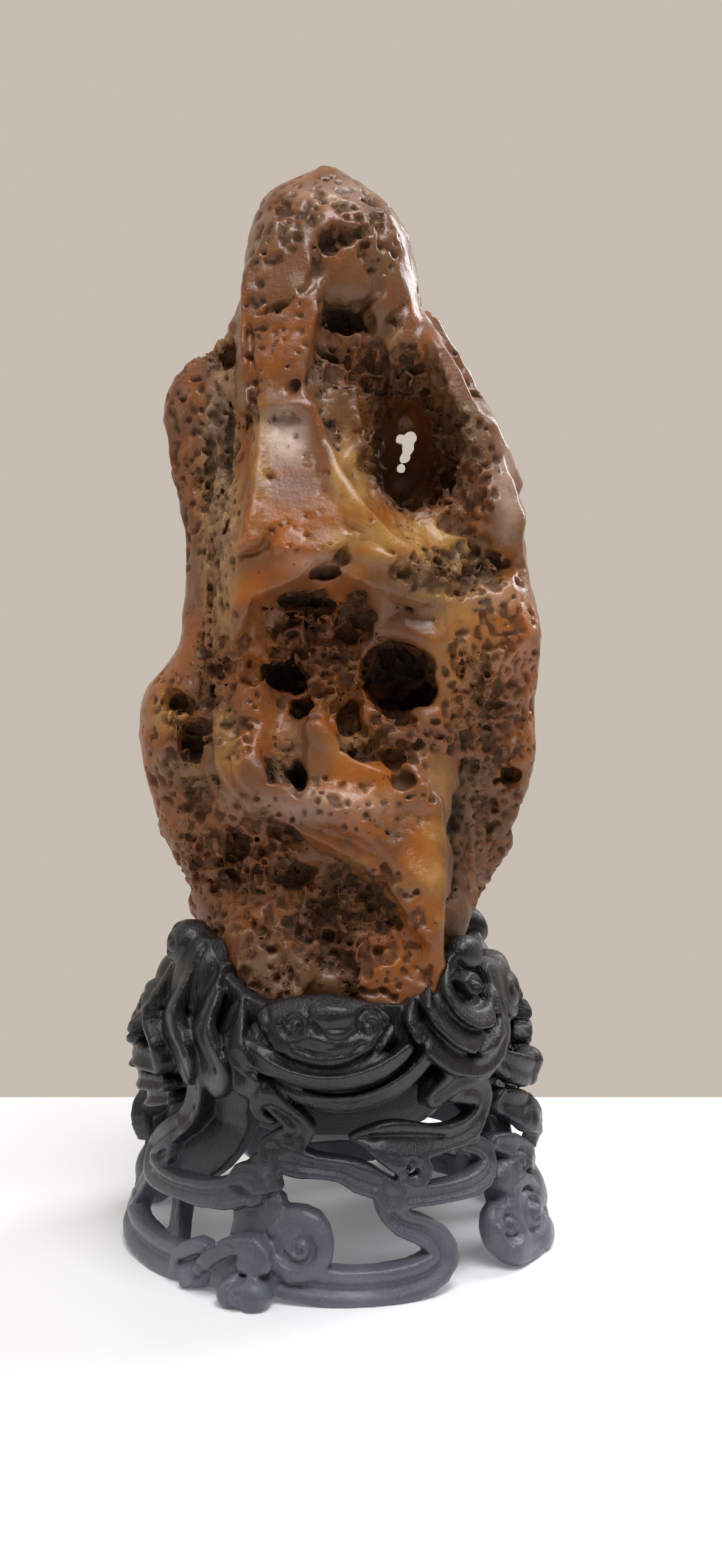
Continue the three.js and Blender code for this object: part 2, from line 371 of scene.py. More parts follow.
def makeStage():
    eye = np.array(viewPoint["eye"]) / 1000
    lens = bpy.data.cameras.new("viewingCamera")
    lens.lens = viewPoint["lens"]
    lens.sensor_width = 36
    camera = bpy.data.objects.new("viewingCamera", lens)
    camera.location = eye
    camera.rotation_euler = (math.radians(90), 0, 0)
    bpy.context.scene.collection.objects.link(camera)
    bpy.context.scene.camera = camera

    table = {"back": 0.19, "front": -2.0, "half": 2.0, "round": 0.004, "under": -1.6}  # metres
    mesh = bpy.data.meshes.new("tableTop")
    half, back, front = table["half"], table["back"], table["front"]
    rows = [(front, 0), (back - table["round"], 0)]
    for i in range(1, 7):
        turn = math.pi / 2 * i / 6
        bend = table["round"]
        rows.append((back - bend + bend * math.sin(turn), bend * (math.cos(turn) - 1)))
    rows.append((back, table["under"]))
    places = [(side * half, y, z) for y, z in rows for side in (-1, 1)]
    faces = [(2 * i, 2 * i + 1, 2 * i + 3, 2 * i + 2) for i in range(len(rows) - 1)]
    mesh.from_pydata(places, [], faces)
    floor = bpy.data.objects.new("tableTop", mesh)
    bpy.context.scene.collection.objects.link(floor)
    paper = bpy.data.materials.new("pale table")
    paper.use_nodes = True
    shader = paper.node_tree.nodes["Principled BSDF"]
    shader.inputs["Base Color"].default_value = (0.9, 0.9, 0.91, 1)
    shader.inputs["Roughness"].default_value = 0.45
    shader.inputs["Emission Color"].default_value = (0.90, 0.95, 1, 1)
    shader.inputs["Emission Strength"].default_value = 0.13  # a very bright table, light even under the stand
    mesh.materials.append(paper)

    bpy.context.scene.view_settings.view_transform = "Standard"
    world = bpy.data.worlds.new("studio")
    world.use_nodes = True
    glow = world.node_tree.nodes["Background"]
    glow.inputs["Color"].default_value = (0.57, 0.505, 0.44, 1)
    heading = addNode(world.node_tree, "ShaderNodeTexCoord").outputs["Generated"]
    ahead = addNode(world.node_tree, "ShaderNodeSeparateXYZ", {"Vector": heading}).outputs["Y"]
    world.node_tree.links.new(fade(world.node_tree, ahead, -0.5, 0.5, 0.3, 1.0), glow.inputs["Strength"])
    bpy.context.scene.world = world

    lamps = {  # name: place, point looked at, width and height, power, colour
        "ceilingPanel": ((0.25, -0.35, 1.25), (0, 0, 0.2), (0.6, 0.4), 8.8, (0.95, 0.97, 1.0)),
        "rearPanel": ((0.75, 0.55, 0.95), (0, 0, 0.25), (0.4, 0.6), 7, (0.93, 0.96, 1.0)),
        "leftPanel": ((-0.95, -0.55, 0.75), (0, 0, 0.2), (0.5, 0.7), 1.9, (1.0, 0.97, 0.95)),
        "tableWash": ((0.05, -0.72, 1.15), (0, -0.05, 0.15), (0.7, 0.35), 4.0, (0.94, 0.97, 1)),
    }
    for name, (place, target, size, power, colour) in lamps.items():
        light = bpy.data.lights.new(name, "AREA")
        light.shape = "RECTANGLE"
        light.size, light.size_y = size
        light.energy = power
        light.color = colour
        lamp = bpy.data.objects.new(name, light)
        lamp.location = place
        aim = np.array(target) - np.array(place)
        lamp.rotation_euler = (math.acos(-aim[2] / np.linalg.norm(aim)), 0, math.atan2(-aim[0], aim[1]))
        bpy.context.scene.collection.objects.link(lamp)


makeStage()
print("stage set")


# Places on the stone are given as they are sighted from the viewing point, on the upright plane y = 0,
# and sighted() finds the real place at another depth. Beyond that plane the two are taken as one.

def sightScale(y):
    return (y - viewPoint["eye"][1]) / -viewPoint["eye"][1]


def sightGrid(depth, x, z):  # the sighted u and v of one upright slice of the grid
    eye = viewPoint["eye"]
    scale = sightScale(depth) if depth < 0 else 1.0
    return (eye[0] + (x - eye[0]) / scale)[:, None], (eye[2] + (z - eye[2]) / scale)[None, :]


def sighted(u, v, y):
    scale = sightScale(y)
    return np.array([viewPoint["eye"][0] + (u - viewPoint["eye"][0]) * scale, y,
                     viewPoint["eye"][2] + (v - viewPoint["eye"][2]) * scale])


stoneForm = {
    # The block
    "step": 0.85,
    "triangles": 196000,
    "squareness": 2.3,  # 2 is a round section, more is boxier
    "sections": [  # height, left edge, right edge, front depth, back depth
        (64, -12, 12, 14, 12), (74, -32, 29, 34, 25), (88, -41, 40, 44, 32), (104, -48, 47, 42, 37),
        (120, -55, 54, 38, 40), (128, -56, 58, 35, 41), (135, -60, 62, 34, 42), (143, -64, 67, 34, 43),
        (151, -68, 69, 34, 44), (163, -71, 73.5, 34, 45), (170, -73, 75.5, 33, 45),
        (182, -75.5, 77.5, 33, 45), (191, -76, 76.5, 32, 45), (199, -75, 76.5, 31, 44),
        (206, -71, 77, 31, 44), (214, -64, 77, 31, 43), (222, -60, 77.5, 31, 43),
        (233, -58.5, 77, 30, 42), (250, -57.5, 73.5, 30, 41), (262, -58, 72, 29, 41),
        (272, -59.5, 72, 29, 40), (284, -62, 68.5, 27, 39), (300, -64.5, 62, 25, 37),
        (308, -66.5, 57, 24, 36), (316, -65.5, 52.5, 23, 34), (324, -62.5, 48.5, 22, 33),
        (330, -57, 45.5, 22, 31), (334, -49, 43, 22, 30), (339, -43, 40.5, 22, 29),
        (345, -38.5, 37.5, 22, 29), (351, -36, 33.5, 24, 28), (362, -34.8, 32, 25, 27),
        (372, -33.5, 29.5, 25, 25), (380, -32, 27.5, 24, 23), (388, -29.5, 22.5, 21, 20),
        (394, -26.5, 16.5, 17, 17), (398, -21.5, 11.5, 14, 14), (401.5, -14, 7, 11, 12),
        (403.5, -9, 3, 8, 9), (405, -6, 0, 5, 6),
    ],
    "top": 405.0,
    "frontSwells": [  # sighted u, v, half sizes, how far the front stands out, tilt in degrees
        (-3, 386, 22, 13, 4, 0), (-20, 332, 12, 27, 6, 3), (-17, 290, 13, 20, 7, 0),
        (-6, 255, 30, 13, 12, 4), (27, 253, 26, 9, 13, -28), (-33, 214, 8, 30, 10, 0),
        (50, 222, 22, 26, 8, 0), (-6, 161, 42, 12, 14, -25), (20, 166, 20, 17, 6, 0),
        (36, 130, 7, 34, 9, 3), (22, 97, 16, 13, 9, 0), (-64, 193, 11, 20, 8, 0), (6, 190, 30, 8, 4, 0),
        (-26, 250, 14, 12, 6, 0), (28, 294, 25, 29, -16, 10), (-4, 216, 21, 22, -6, 0),
        (2, 118, 19, 18, -3.5, 0), (-43, 275, 8, 46, -9, 0), (-57, 288, 11, 40, -10, 0),
        (62, 148, 13, 42, -22, 0), (-34, 134, 20, 14, -5, 0), (4, 347, 13, 9, -6, 0),
        (57, 250, 13, 14, -4, 0), (-50, 176, 7, 18, -9, 0), (15, 322, 14, 12, -7, 0),
    ],
    "backSwells": [
        (-8, 300, 26, 40, -8, 20), (30, 240, 22, 34, 9, -12), (-34, 214, 24, 28, 8, 0),
        (-2, 190, 14, 44, -9, 16), (40, 160, 26, 22, 7, 0), (-36, 146, 22, 30, -6, 0),
        (6, 366, 18, 24, 6, 0), (8, 116, 30, 20, 6, 0), (-40, 300, 14, 30, 6, 0),
        (20, 330, 16, 16, -7, 0),
    ],
    # Carving
    "warp": ((1.5, 6), (0.8, 2.8)),  # raggedness of the hollows: height and size in mm
    "facets": {  # flat worn faces: corners u, v and how far out they stand, then the side slope
        "pillar": ([(-35, 362, 28), (-24, 384, 22), (-12, 380, 26), (-6, 357, 33), (-9, 340, 35),
                    (-12, 322, 35), (-11, 313, 35), (-34, 313, 32), (-36, 340, 30)], 0.35),
        "ridge": ([(-28, 313, 28), (-11, 314.5, 29), (-6, 302, 34), (0, 290, 39), (8, 277, 43),
                   (14, 268, 45), (0, 258, 48), (-20, 258, 48), (-34, 262, 46), (-30, 288, 37)], 0.5),
        "saddle": ([(8, 277, 43), (18, 265, 42), (34, 252, 39), (46, 244, 36), (34, 238, 38),
                    (8, 247, 43), (-6, 256, 45)], 0.6),
        "shoulder": ([(-34, 262, 44), (-6, 256, 46), (-14, 247, 47), (-32, 240, 44), (-40, 222, 40),
                      (-38, 250, 40)], 0.5),
        "tongue": ([(-10, 192, 40), (-2, 188, 41), (6, 178, 43), (20, 172, 42), (35, 168, 40),
                    (35, 160, 42), (10, 160, 44), (-7, 162, 44), (-10, 175, 42)], 0.6),
        "slope": ([(-43, 194, 34), (-30, 179, 38), (-12, 163, 41), (8, 161, 42), (28, 156, 42),
                   (39, 144, 42), (41, 118, 45), (37, 106, 46), (28, 116, 50), (20, 131, 51),
                   (4, 141, 51), (-14, 150, 50), (-32, 161, 46), (-45, 178, 40)], 0.45),
        "toe": ([(10, 110, 44), (30, 113, 45), (40, 98, 47), (36, 84, 50), (14, 82, 51), (6, 93, 48)],
                0.6),
        "apron": ([(-36, 112, 42), (-16, 110, 43), (-8, 94, 48), (-14, 84, 50), (-32, 86, 47),
                   (-38, 98, 43)], 0.6),
        "cheek": ([(44, 240, 36), (68, 246, 28), (74, 224, 28), (60, 214, 34), (44, 222, 38)], 0.6),
        "rim": ([(38, 338, 19), (44, 334, 17), (58, 308, 20), (71, 280, 22), (73, 262, 24),
                 (62, 274, 28), (52, 302, 25)], 0.8),
        "brow": ([(-14, 312, 20), (6, 318, 26), (14, 306, 24), (16, 292, 20), (6, 286, 22),
                  (-2, 296, 24)], 0.5),
    },
    "ribs": [  # raised rims: points u, v, then the radius and how far the middle lies in
        ([(-27, 312), (-18, 313.5), (-11, 312)], 1.8, 0.8),
        ([(-10, 311), (-5, 299), (0, 288), (8, 275), (18, 264), (34, 251), (44, 243)], 3.0, 1.6),
        ([(-28, 310), (-29, 296), (-30, 280), (-34, 262), (-36, 256)], 2.6, 1.8),
        ([(37, 346), (43, 335), (52, 318), (61, 301), (69, 284)], 3.2, 2.0),
        ([(12, 222), (22, 227), (34, 224), (43, 214), (44, 200), (36, 189)], 2.6, 1.4),
        ([(12, 196), (18, 189), (30, 186)], 2.2, 1.2),
        ([(-9, 210), (-7, 200), (-6, 189), (-3, 184)], 3.6, 1.4), ([(-5, 208), (4, 207)], 2.6, 0.8),
        ([(16, 242), (19, 231), (12, 222), (2, 220), (-10, 224)], 2.2, 1.2),
        ([(-40, 186), (-31, 172), (-14, 160), (6, 152), (24, 140), (34, 128)], 3.2, 1.8),
        ([(5, 292), (12, 300), (13, 309)], 4.2, 0.5),
        ([(38, 160), (40, 140), (40, 118), (38, 100)], 2.6, 1.4),
        ([(-44, 162), (-34, 150), (-22, 143), (-10, 138)], 2.0, 1.0),
    ],
    "hollows": {  # u, v, how far in, half sizes, turn in degrees, softness of the rim
        "window bowl": (26, 297, -3, (21, 13, 26), (12, 0, 0), 6),
        "window bowl low": (34, 281, 0, (17, 11, 14), (0, 0, 0), 5),
        "window": (27, 296, 8, (12, 17, 23), (12, 0, -3), 3),
        "round hole": (25, 209, 8, (14, 22, 15), (5, 0, 0), 2.5),
        "round hole low": (33, 199, 4, (7, 12, 7), (5, 0, 0), 2),
        "long hollow": (-11, 238, 2, (11.5, 10, 3.6), (8, 6, 0), 2),
        "shallow bowl": (9, 231, 1, (8.2, 7, 7.2), (0, 0, 0), 2),
        "small slot": (11, 241, 2, (4, 6, 2), (0, 0, 0), 1),
        "dark cave": (-18, 209, 5, (8.5, 12, 6.2), (0, 12, 0), 2),
        "low cave": (-12, 197, 4, (3.8, 10, 4), (0, 20, 0), 1.5),
        "crescent": (5, 195, 4, (4.6, 11, 10), (0, 18, 0), 1.5),
        "left pocket": (-33, 212, 2, (4.5, 6, 6), (0, 0, 0), 1.5),
        "left pocket low": (-40, 190, 2, (4, 6, 5), (0, 0, 0), 1.5),
        "rough dish": (10, 183, 0, (9, 5, 6), (0, 0, 0), 2),
        "slot": (-14, 171, 2, (2.6, 11, 6), (0, -8, 0), 1.5),
        "slot dish": (-21, 176, 0, (8, 4.5, 9), (0, 20, 0), 3),
        "knob hole": (-62, 200, 2, (5.5, 8, 4.5), (0, 0, 0), 1.5),
        "knob hole low": (-54, 184, 2, (4.8, 9, 7), (0, -10, 0), 1.5),
        "crown hollow": (3, 380, 0, (6.5, 5.5, 4), (0, 0, 0), 1.5),
        "crown hollow low": (-3, 376, 1, (4, 5, 4.5), (0, 0, 0), 1.2),
        "throat": (3, 346, 1, (8, 7, 4.2), (0, 8, 0), 2),
        "throat low": (1, 332, 1, (5, 5, 1.8), (0, -8, 0), 1),
        "side dimple": (-53, 283, 0, (2.6, 3, 3.4), (0, 0, 0), 1.5),
        "shoulder hole": (-40, 334, 3, (4.5, 8, 7), (0, 0, 0), 2),
        "saddle pit": (2, 255, 1, (3, 5, 3.2), (0, 20, 0), 1),
        "saddle slot": (-4, 250, 1, (5, 5, 1.5), (0, -3, 0), 1),
        "right pocket": (28, 170, 1, (5, 6, 3), (0, 0, 0), 1.2),
        "right pocket high": (22, 178, 1, (3, 6, 3.5), (0, 20, 0), 1.2),
        "cheek hole": (67, 172, 2, (4, 6, 3), (0, 0, 0), 1.2),
        "recess": (-18, 149, 2, (7, 8, 3.6), (0, 8, 0), 1.5),
        "recess low": (-14, 133, 2, (6, 7, 3.4), (0, 0, 0), 1.5),
        "recess left": (-38, 140, 1, (3, 6, 7), (0, 10, 0), 1.5),
    },
    # rays of the hole right through: u, v and radius
    "seeThrough": [(25.5, 289, 1.7), (27, 293, 1.9), (28, 297, 2.2), (29, 301, 2.2), (25, 300.5, 1.7)],
    # the far side of the window: place, half sizes, turn in degrees
    "windowBack": ((29, 46, 314), (9, 13, 14), (12, 0, 0)),
    "gullies": [  # cracks: points u, v, then the half width and how far the middle lies in
        ([(-8, 374), (-7, 367), (-10, 359), (-15, 354), (-25, 351)], 1.6, 0.2),
        ([(-19, 351), (-26, 349), (-30, 347)], 1.3, 0.2),
        ([(11, 380), (11, 371), (16, 363), (15, 355), (8, 351), (-6, 351)], 1.9, 0.4),
        ([(17, 384), (18, 375), (17, 366)], 1.3, 0.2),
        ([(-6, 342), (-5, 334), (-8, 326), (-17, 320)], 1.6, 0.2),
        ([(13, 346), (12, 336), (6, 330)], 1.8, 0.4), ([(27, 352), (18, 340), (12, 330)], 1.6, 0.3),
        ([(-33, 345), (-32, 325), (-31, 305), (-33, 285), (-36, 262)], 1.8, 0.2),
        ([(-39, 340), (-38, 320), (-41, 298), (-42, 270), (-41, 240), (-44, 222)], 1.6, 0.2),
        ([(-47, 300), (-48, 275), (-47, 250), (-51, 226)], 1.4, 0.2),
        ([(-24, 266), (-28, 258), (-36, 256)], 1.4, 0.2), ([(5, 268), (20, 258), (33, 248)], 1.0, 0.1),
        ([(52, 262), (54, 252), (50, 243)], 1.8, 0.4),
        ([(46, 160), (45, 148), (47, 134), (44, 118), (44, 104), (42, 94)], 3.4, 2.0),
        ([(50, 172), (49, 162), (46, 152)], 2.0, 0.5),
        ([(-44, 183), (-40, 170), (-30, 160), (-22, 152)], 1.8, 0.3),
        ([(-22, 152), (-12, 143), (4, 136), (14, 126), (26, 118)], 1.5, 0.2),
        ([(-3, 120), (-3, 110), (1, 102), (5, 95), (6, 86)], 2.8, 1.0),
        ([(-58, 168), (-52, 158), (-45, 150), (-34, 146)], 1.6, 0.2),
        ([(-50, 190), (-48, 180), (-46, 170)], 2.6, 1.2),
        ([(-34, 118), (-24, 106), (-18, 94)], 1.4, 0.2),
        ([(-52, 224), (-50, 212), (-50, 196)], 1.8, 0.4), ([(70, 190), (66, 176), (70, 160)], 1.6, 0.2),
    ],
    "folds": [  # long grooves down the back and the sides: points x, y, z and a radius
        ([(-30, 40, 330), (-38, 42, 290), (-30, 46, 250), (-44, 44, 210), (-40, 42, 160)], 3.0),
        ([(10, 30, 380), (4, 34, 340), (12, 42, 290), (2, 46, 240), (10, 50, 190), (0, 44, 130)], 3.4),
        ([(44, 30, 300), (50, 34, 260), (42, 44, 220), (54, 38, 170), (44, 38, 120)], 3.0),
        ([(-60, 8, 320), (-62, 14, 280), (-56, 16, 240), (-68, 18, 200), (-64, 14, 160), (-54, 10, 126)],
         2.4),
        ([(58, 8, 300), (70, 12, 262), (72, 16, 224), (74, 10, 186), (66, 12, 150)], 2.4),
        ([(-26, 30, 370), (-34, 22, 350), (-52, 20, 326)], 2.4),
    ],
    "pockets": [  # caves in the back: place and half sizes
        ((-22, 46, 262), (11, 14, 19)), ((31, 50, 204), (12, 16, 12)), ((-42, 42, 192), (7, 10, 13)),
        ((44, 34, 150), (8, 11, 16)), ((-8, 46, 152), (12, 9, 6)), ((14, 30, 350), (6, 8, 9)),
        ((6, 46, 236), (4, 9, 12)), ((-56, 26, 238), (4, 8, 13)), ((-12, 42, 314), (9, 8, 5)),
        ((-76, 4, 178), (5, 6, 6)), ((-66, 6, 300), (4, 5, 8)),
    ],
    # Weathering
    "lumps": (0.9, 21),  # height in mm and size in mm, as in the rows below
    "dents": (0.7, 8),
    "ripple": (0.34, 4.2),
    "crust": (1.5, 3.4),  # only in the sheltered and the rough places
    "grit": (0.8, 1.9),
    "striation": (2.3, (2.3, 6.0, 48.0)),
    "tornPlaces": [  # sighted u, v, half sizes, depth: eaten away in an uneven network
        (-6, 218, 23, 20, 4.8), (30, 296, 18, 26, 4.2), (54, 202, 11, 27, 2.4), (46, 249, 22, 9, 2.6),
        (0, 114, 24, 17, 3.2), (-34, 138, 19, 14, 4.0), (5, 332, 13, 15, 3), (-56, 186, 9, 16, 3.0),
        (24, 186, 20, 9, 2.8), (-46, 332, 7, 6, 2.2), (55, 146, 8, 32, 2.0), (-44, 212, 6, 20, 3.0),
        (22, 322, 16, 10, 2.8), (-54, 152, 7, 16, 2.0),
    ],
    "tornSize": (6.4, 2.7),
    "backTorn": (3.6, 34),  # the same on the back: most depth, size of the patches
    "wallKept": (30, 302, 26, 34),  # x, z and half sizes of the window's wall, left whole
    "pitlessWall": (30, 300, 22, 26),  # the same, left without pits
    "roughPlaces": [  # sighted u, v, half sizes, amount
        (46, 292, 13, 22, 1), (26, 300, 20, 27, 0.8), (55, 202, 13, 28, 0.45), (40, 250, 20, 10, 0.7),
        (2, 120, 22, 18, 0.7), (24, 325, 20, 12, 0.7), (-38, 136, 20, 16, 0.6), (-44, 278, 7, 58, 0.7),
        (-50, 336, 10, 8, 0.5), (-50, 205, 8, 22, 0.7), (-6, 214, 20, 22, 0.5), (28, 186, 18, 8, 0.5),
        (2, 347, 10, 7, 0.8), (-26, 98, 16, 14, 0.6), (-58, 150, 12, 24, 0.45), (60, 146, 12, 36, 0.4),
    ],
    "smoothPlaces": [
        (-17, 292, 12, 20, 1), (-4, 262, 26, 10, 1), (-20, 362, 12, 10, 0.8), (-20, 332, 10, 14, 0.9),
        (12, 165, 22, 10, 0.8), (-34, 215, 5, 26, 0.5), (60, 236, 12, 8, 0.6), (0, 155, 30, 6, 0.5),
        (64, 290, 7, 24, 1), (22, 362, 8, 10, 0.6), (72, 215, 7, 34, 0.9), (57, 237, 15, 8, 0.9),
        (-8, 262, 22, 12, 1), (-58, 285, 6, 40, 0.6), (26, 98, 12, 8, 0.6),
    ],
    "pits": [  # sighted u, v, half sizes, how many, smallest and largest radius
        (0, 392, 24, 10, 110, 0.9, 1.7), (-22, 379, 9, 12, 46, 0.9, 1.8),
        (18, 378, 10, 16, 40, 0.9, 1.7), (-31, 335, 4, 40, 46, 0.9, 1.6),
        (-18, 338, 14, 24, 16, 0.9, 1.4), (-53, 300, 13, 44, 150, 0.9, 1.6),
        (50, 285, 13, 26, 110, 1.0, 2.2), (20, 326, 22, 12, 90, 0.9, 1.9),
        (45, 250, 24, 10, 150, 0.9, 1.9), (58, 205, 17, 34, 280, 0.8, 1.9),
        (70, 205, 8, 44, 90, 0.9, 1.6), (-5, 215, 24, 24, 120, 0.9, 1.9),
        (-38, 200, 9, 30, 70, 0.9, 1.8), (-63, 180, 12, 34, 150, 0.8, 1.7),
        (0, 158, 42, 13, 130, 0.7, 1.5), (-40, 135, 24, 26, 280, 0.8, 1.8),
        (8, 116, 28, 22, 260, 0.8, 1.8), (22, 96, 16, 12, 50, 0.8, 1.6),
        (-26, 98, 14, 14, 70, 0.8, 1.6), (-15, 280, 14, 24, 18, 0.7, 1.1),
        (0, 262, 28, 12, 14, 0.8, 1.3), (60, 140, 12, 36, 60, 0.8, 1.4),
        (26, 184, 24, 10, 90, 1.0, 2.1), (-44, 275, 9, 60, 120, 0.8, 1.8),
    ],
    "backPits": (1600, 0.85, 2.55),  # how many, smallest and largest radius
    # Colours and finish
    "colours": {  # linear red, green, blue, alpha
        "pinkBrown": (0.160, 0.056, 0.022, 1),
        "amber": (0.315, 0.092, 0.014, 1),
        "ochre": (0.40, 0.205, 0.052, 1),
        "umber": (0.165, 0.085, 0.040, 1),
        # hollow: the dark brown of the rough recesses and pits, partly the stone's own colour and partly painted
        # shade
        "hollow": (0.038, 0.018, 0.008, 1),
        "plum": (0.06, 0.018, 0.012, 1),
        # the colour of a painted sheen
        "bloom": (0.58, 0.42, 0.33, 1),
    },
    "amberPlaces": [  # sighted u, v, half sizes, amount
        (-6, 266, 28, 12, 1), (-22, 326, 12, 14, 0.3), (10, 170, 26, 12, 0.9), (34, 140, 8, 26, 0.8),
        (58, 232, 18, 12, 0.7), (26, 262, 14, 8, 0.8), (-34, 240, 8, 18, 0.6), (70, 200, 8, 40, 0.4),
        (28, 100, 14, 10, 0.5), (-2, 198, 8, 12, 0.8), (10, 205, 10, 14, 0.4), (-70, 190, 8, 20, 0.4),
        (8, 305, 8, 8, 0.4), (-12, 344, 8, 10, 0.3),
    ],
    "ochrePlaces": [
        (22, 262, 24, 9, 1), (-44, 275, 8, 60, 0.9), (45, 250, 22, 14, 0.9), (8, 282, 8, 14, 0.9),
        (-28, 295, 4, 22, 0.7), (3, 290, 5, 16, 0.9), (-42, 180, 5, 22, 0.7), (40, 150, 8, 30, 0.6),
        (-66, 198, 12, 10, 0.6), (48, 220, 14, 22, 0.4), (8, 183, 12, 8, 0.4),
    ],
    # painted shade: dark colour in the window, the round hole, the caves, the gullies and the slots, where they
    # lie in shade
    "paintedShadePlaces": [
        (28, 297, 13, 23, 1), (26, 208, 13, 15, 1), (-18, 208, 9, 7, 0.8), (3, 346, 8, 5, 0.8),
        (2, 104, 6, 12, 0.3), (-11, 238, 12, 4, 0.6), (47, 132, 5, 34, 0.9), (-14, 171, 4, 7, 0.8),
    ],
    "bloomPlaces": [  # painted sheen: paler colour on the facet and the upper edges, where the ceiling light would shine on the wax
        (-19, 302, 9, 11, 1), (0, 395, 18, 6, 0.35), (66, 285, 6, 24, 0.6), (-8, 252, 14, 4, 0.35),
        (-44, 280, 7, 48, 0.18), (-4, 160, 28, 7, 0.35), (-44, 300, 6, 26, 0.3), (62, 240, 12, 6, 0.3),
    ],
    "roughness": (0.19, 0.65),  # on the worn faces, then in the pits
    "coat": 0.18,
    "coatRoughness": 0.1,
    "shine": 0.27,
    "scatter": (0.06, (0.006, 0.002, 0.001)),  # light below the skin: how much, and how far in red, green, blue
}


def swellDepth(swells, u, v):
    total = 0
    for atU, atV, halfU, halfV, depth, tilt in swells:
        c, s = math.cos(math.radians(tilt)), math.sin(math.radians(tilt))
        along = ((u - atU) * c + (v - atV) * s) / halfU
        up = ((v - atV) * c - (u - atU) * s) / halfV
        total = total + depth * np.exp(-(along ** 2 + up ** 2))
    return total


def roughOut():  # the block before any hollow is cut
    form = stoneForm
    clay = Clay((-84, -62, 56), (86, 60, 412), form["step"])
    x, y, z = clay.axes
    rows = smoothCurve(form["sections"], 2.0)
    rows = rows[np.argsort(rows[:, 0])]
    heights = rows[:, 0]
    power = form["squareness"]
    for j, depth in enumerate(y):
        front = depth < 0
        u, v = sightGrid(depth, x, z)
        left, right, ahead, behind = (np.interp(v, heights, rows[:, k]) for k in range(1, 5))
        reach = ahead if front else behind
        swell = swellDepth(form["frontSwells" if front else "backSwells"], u, v)
        reach = np.maximum(reach + swell, 0.25 * reach)
        middle, half = (left + right) / 2, (right - left) / 2
        across = np.abs(u - middle) / half
        along = abs(depth) / reach
        ratio = (across ** power + along ** power + 1e-9) ** (1 / power)
        away = np.sqrt((u - middle) ** 2 + depth ** 2) * (1 - 1 / ratio)
        cap = np.maximum(v - form["top"], heights[0] - v)
        clay.field[:, j, :] = np.maximum(away, cap)
    slope = np.sqrt(sum(g ** 2 for g in np.gradient(clay.field, form["step"])))
    clay.field /= np.clip(slope, 0.6, 6)
    np.clip(clay.field, -30, 30, out=clay.field)
    return clay


def trimToOutline():  # nothing added to the front stands outside the outline of the block
    rows = smoothCurve(stoneForm["sections"], 2.0)
    rows = rows[np.argsort(rows[:, 0])]
    x, y, z = stone.axes
    for j, depth in enumerate(y):
        u, v = sightGrid(depth, x, z)
        left, right = (np.interp(v, rows[:, 0], rows[:, k]) for k in (1, 2))
        beside = np.maximum(left - u, u - right) * 0.8
        stone.field[:, j, :] = np.maximum(stone.field[:, j, :], beside)


stone = roughOut()
stoneBlock = copy.deepcopy(stone)  # kept as it was before the weathering, for the socket
stoneWarp = 0  # ragged edges for the hollows
for seed, (height, size) in zip((11, 12), stoneForm["warp"]):
    stoneWarp = stoneWarp + height * cloudNoise(stone.axes, size, seed)
print("stone roughed out", stone.field.shape)


def frontHits(sights):  # where the lines of sight first meet the stone
    sights = np.asarray(sights, float)
    depths = np.arange(-60, 58, 0.8)
    found = np.full(len(sights), np.nan)
    for depth in depths:
        scale = sightScale(depth) if depth < 0 else 1.0
        places = np.stack([viewPoint["eye"][0] + (sights[:, 0] - viewPoint["eye"][0]) * scale,
                           np.full(len(sights), depth),
                           viewPoint["eye"][2] + (sights[:, 1] - viewPoint["eye"][2]) * scale], axis=1)
        hit = np.isnan(found) & (stone.read(places) < 0)
        found[hit] = depth
    out = []
    for (u, v), depth in zip(sights, found):
        if np.isnan(depth):
            depth = 0.0
        out.append(sighted(u, v, depth) if depth < 0 else np.array([u, depth, v]))
    return np.array(out)


def facet(corners, slope):
    corners = np.array(corners, float)
    flat = np.column_stack([corners[:, :2], np.ones(len(corners))])
    fit = np.linalg.lstsq(flat, corners[:, 2], rcond=None)[0]  # the plane nearest to the corners
    ends = [sighted(u, v, -out) for u, v, out in corners] + [sighted(u, v, 0) for u, v, out in corners]

    def distance(x, y, z):
        scale = np.minimum((y - viewPoint["eye"][1]) / -viewPoint["eye"][1], 1)
        u = viewPoint["eye"][0] + (x - viewPoint["eye"][0]) / scale
        v = viewPoint["eye"][2] + (z - viewPoint["eye"][2]) / scale
        away, inside = None, False
        for a, b in zip(corners, np.roll(corners, -1, axis=0)):
            run = b[:2] - a[:2]
            t = np.clip(((u - a[0]) * run[0] + (v - a[1]) * run[1]) / (run @ run), 0, 1)
            edge = np.hypot(u - a[0] - t * run[0], v - a[1] - t * run[1])
            away = edge if away is None else np.minimum(away, edge)
            over = (a[1] > v) != (b[1] > v)
            inside = inside ^ (over & (u < a[0] + (v - a[1]) * run[0] / (run[1] if run[1] else 1e-6)))
        behind = y + fit[0] * u + fit[1] * v + fit[2]
        side = (np.where(inside, -away, away) - slope * np.maximum(behind, 0)) / math.hypot(1, slope)
        return np.maximum(np.maximum(side, -behind), y - 6)

    return np.min(ends, axis=0) - 8, np.max(ends, axis=0) + 8, distance


def onFront(points, sink):
    hits = frontHits(points)
    inward = hits - np.array(viewPoint["eye"])
    inward /= np.linalg.norm(inward, axis=1)[:, None]
    return hits + inward * sink


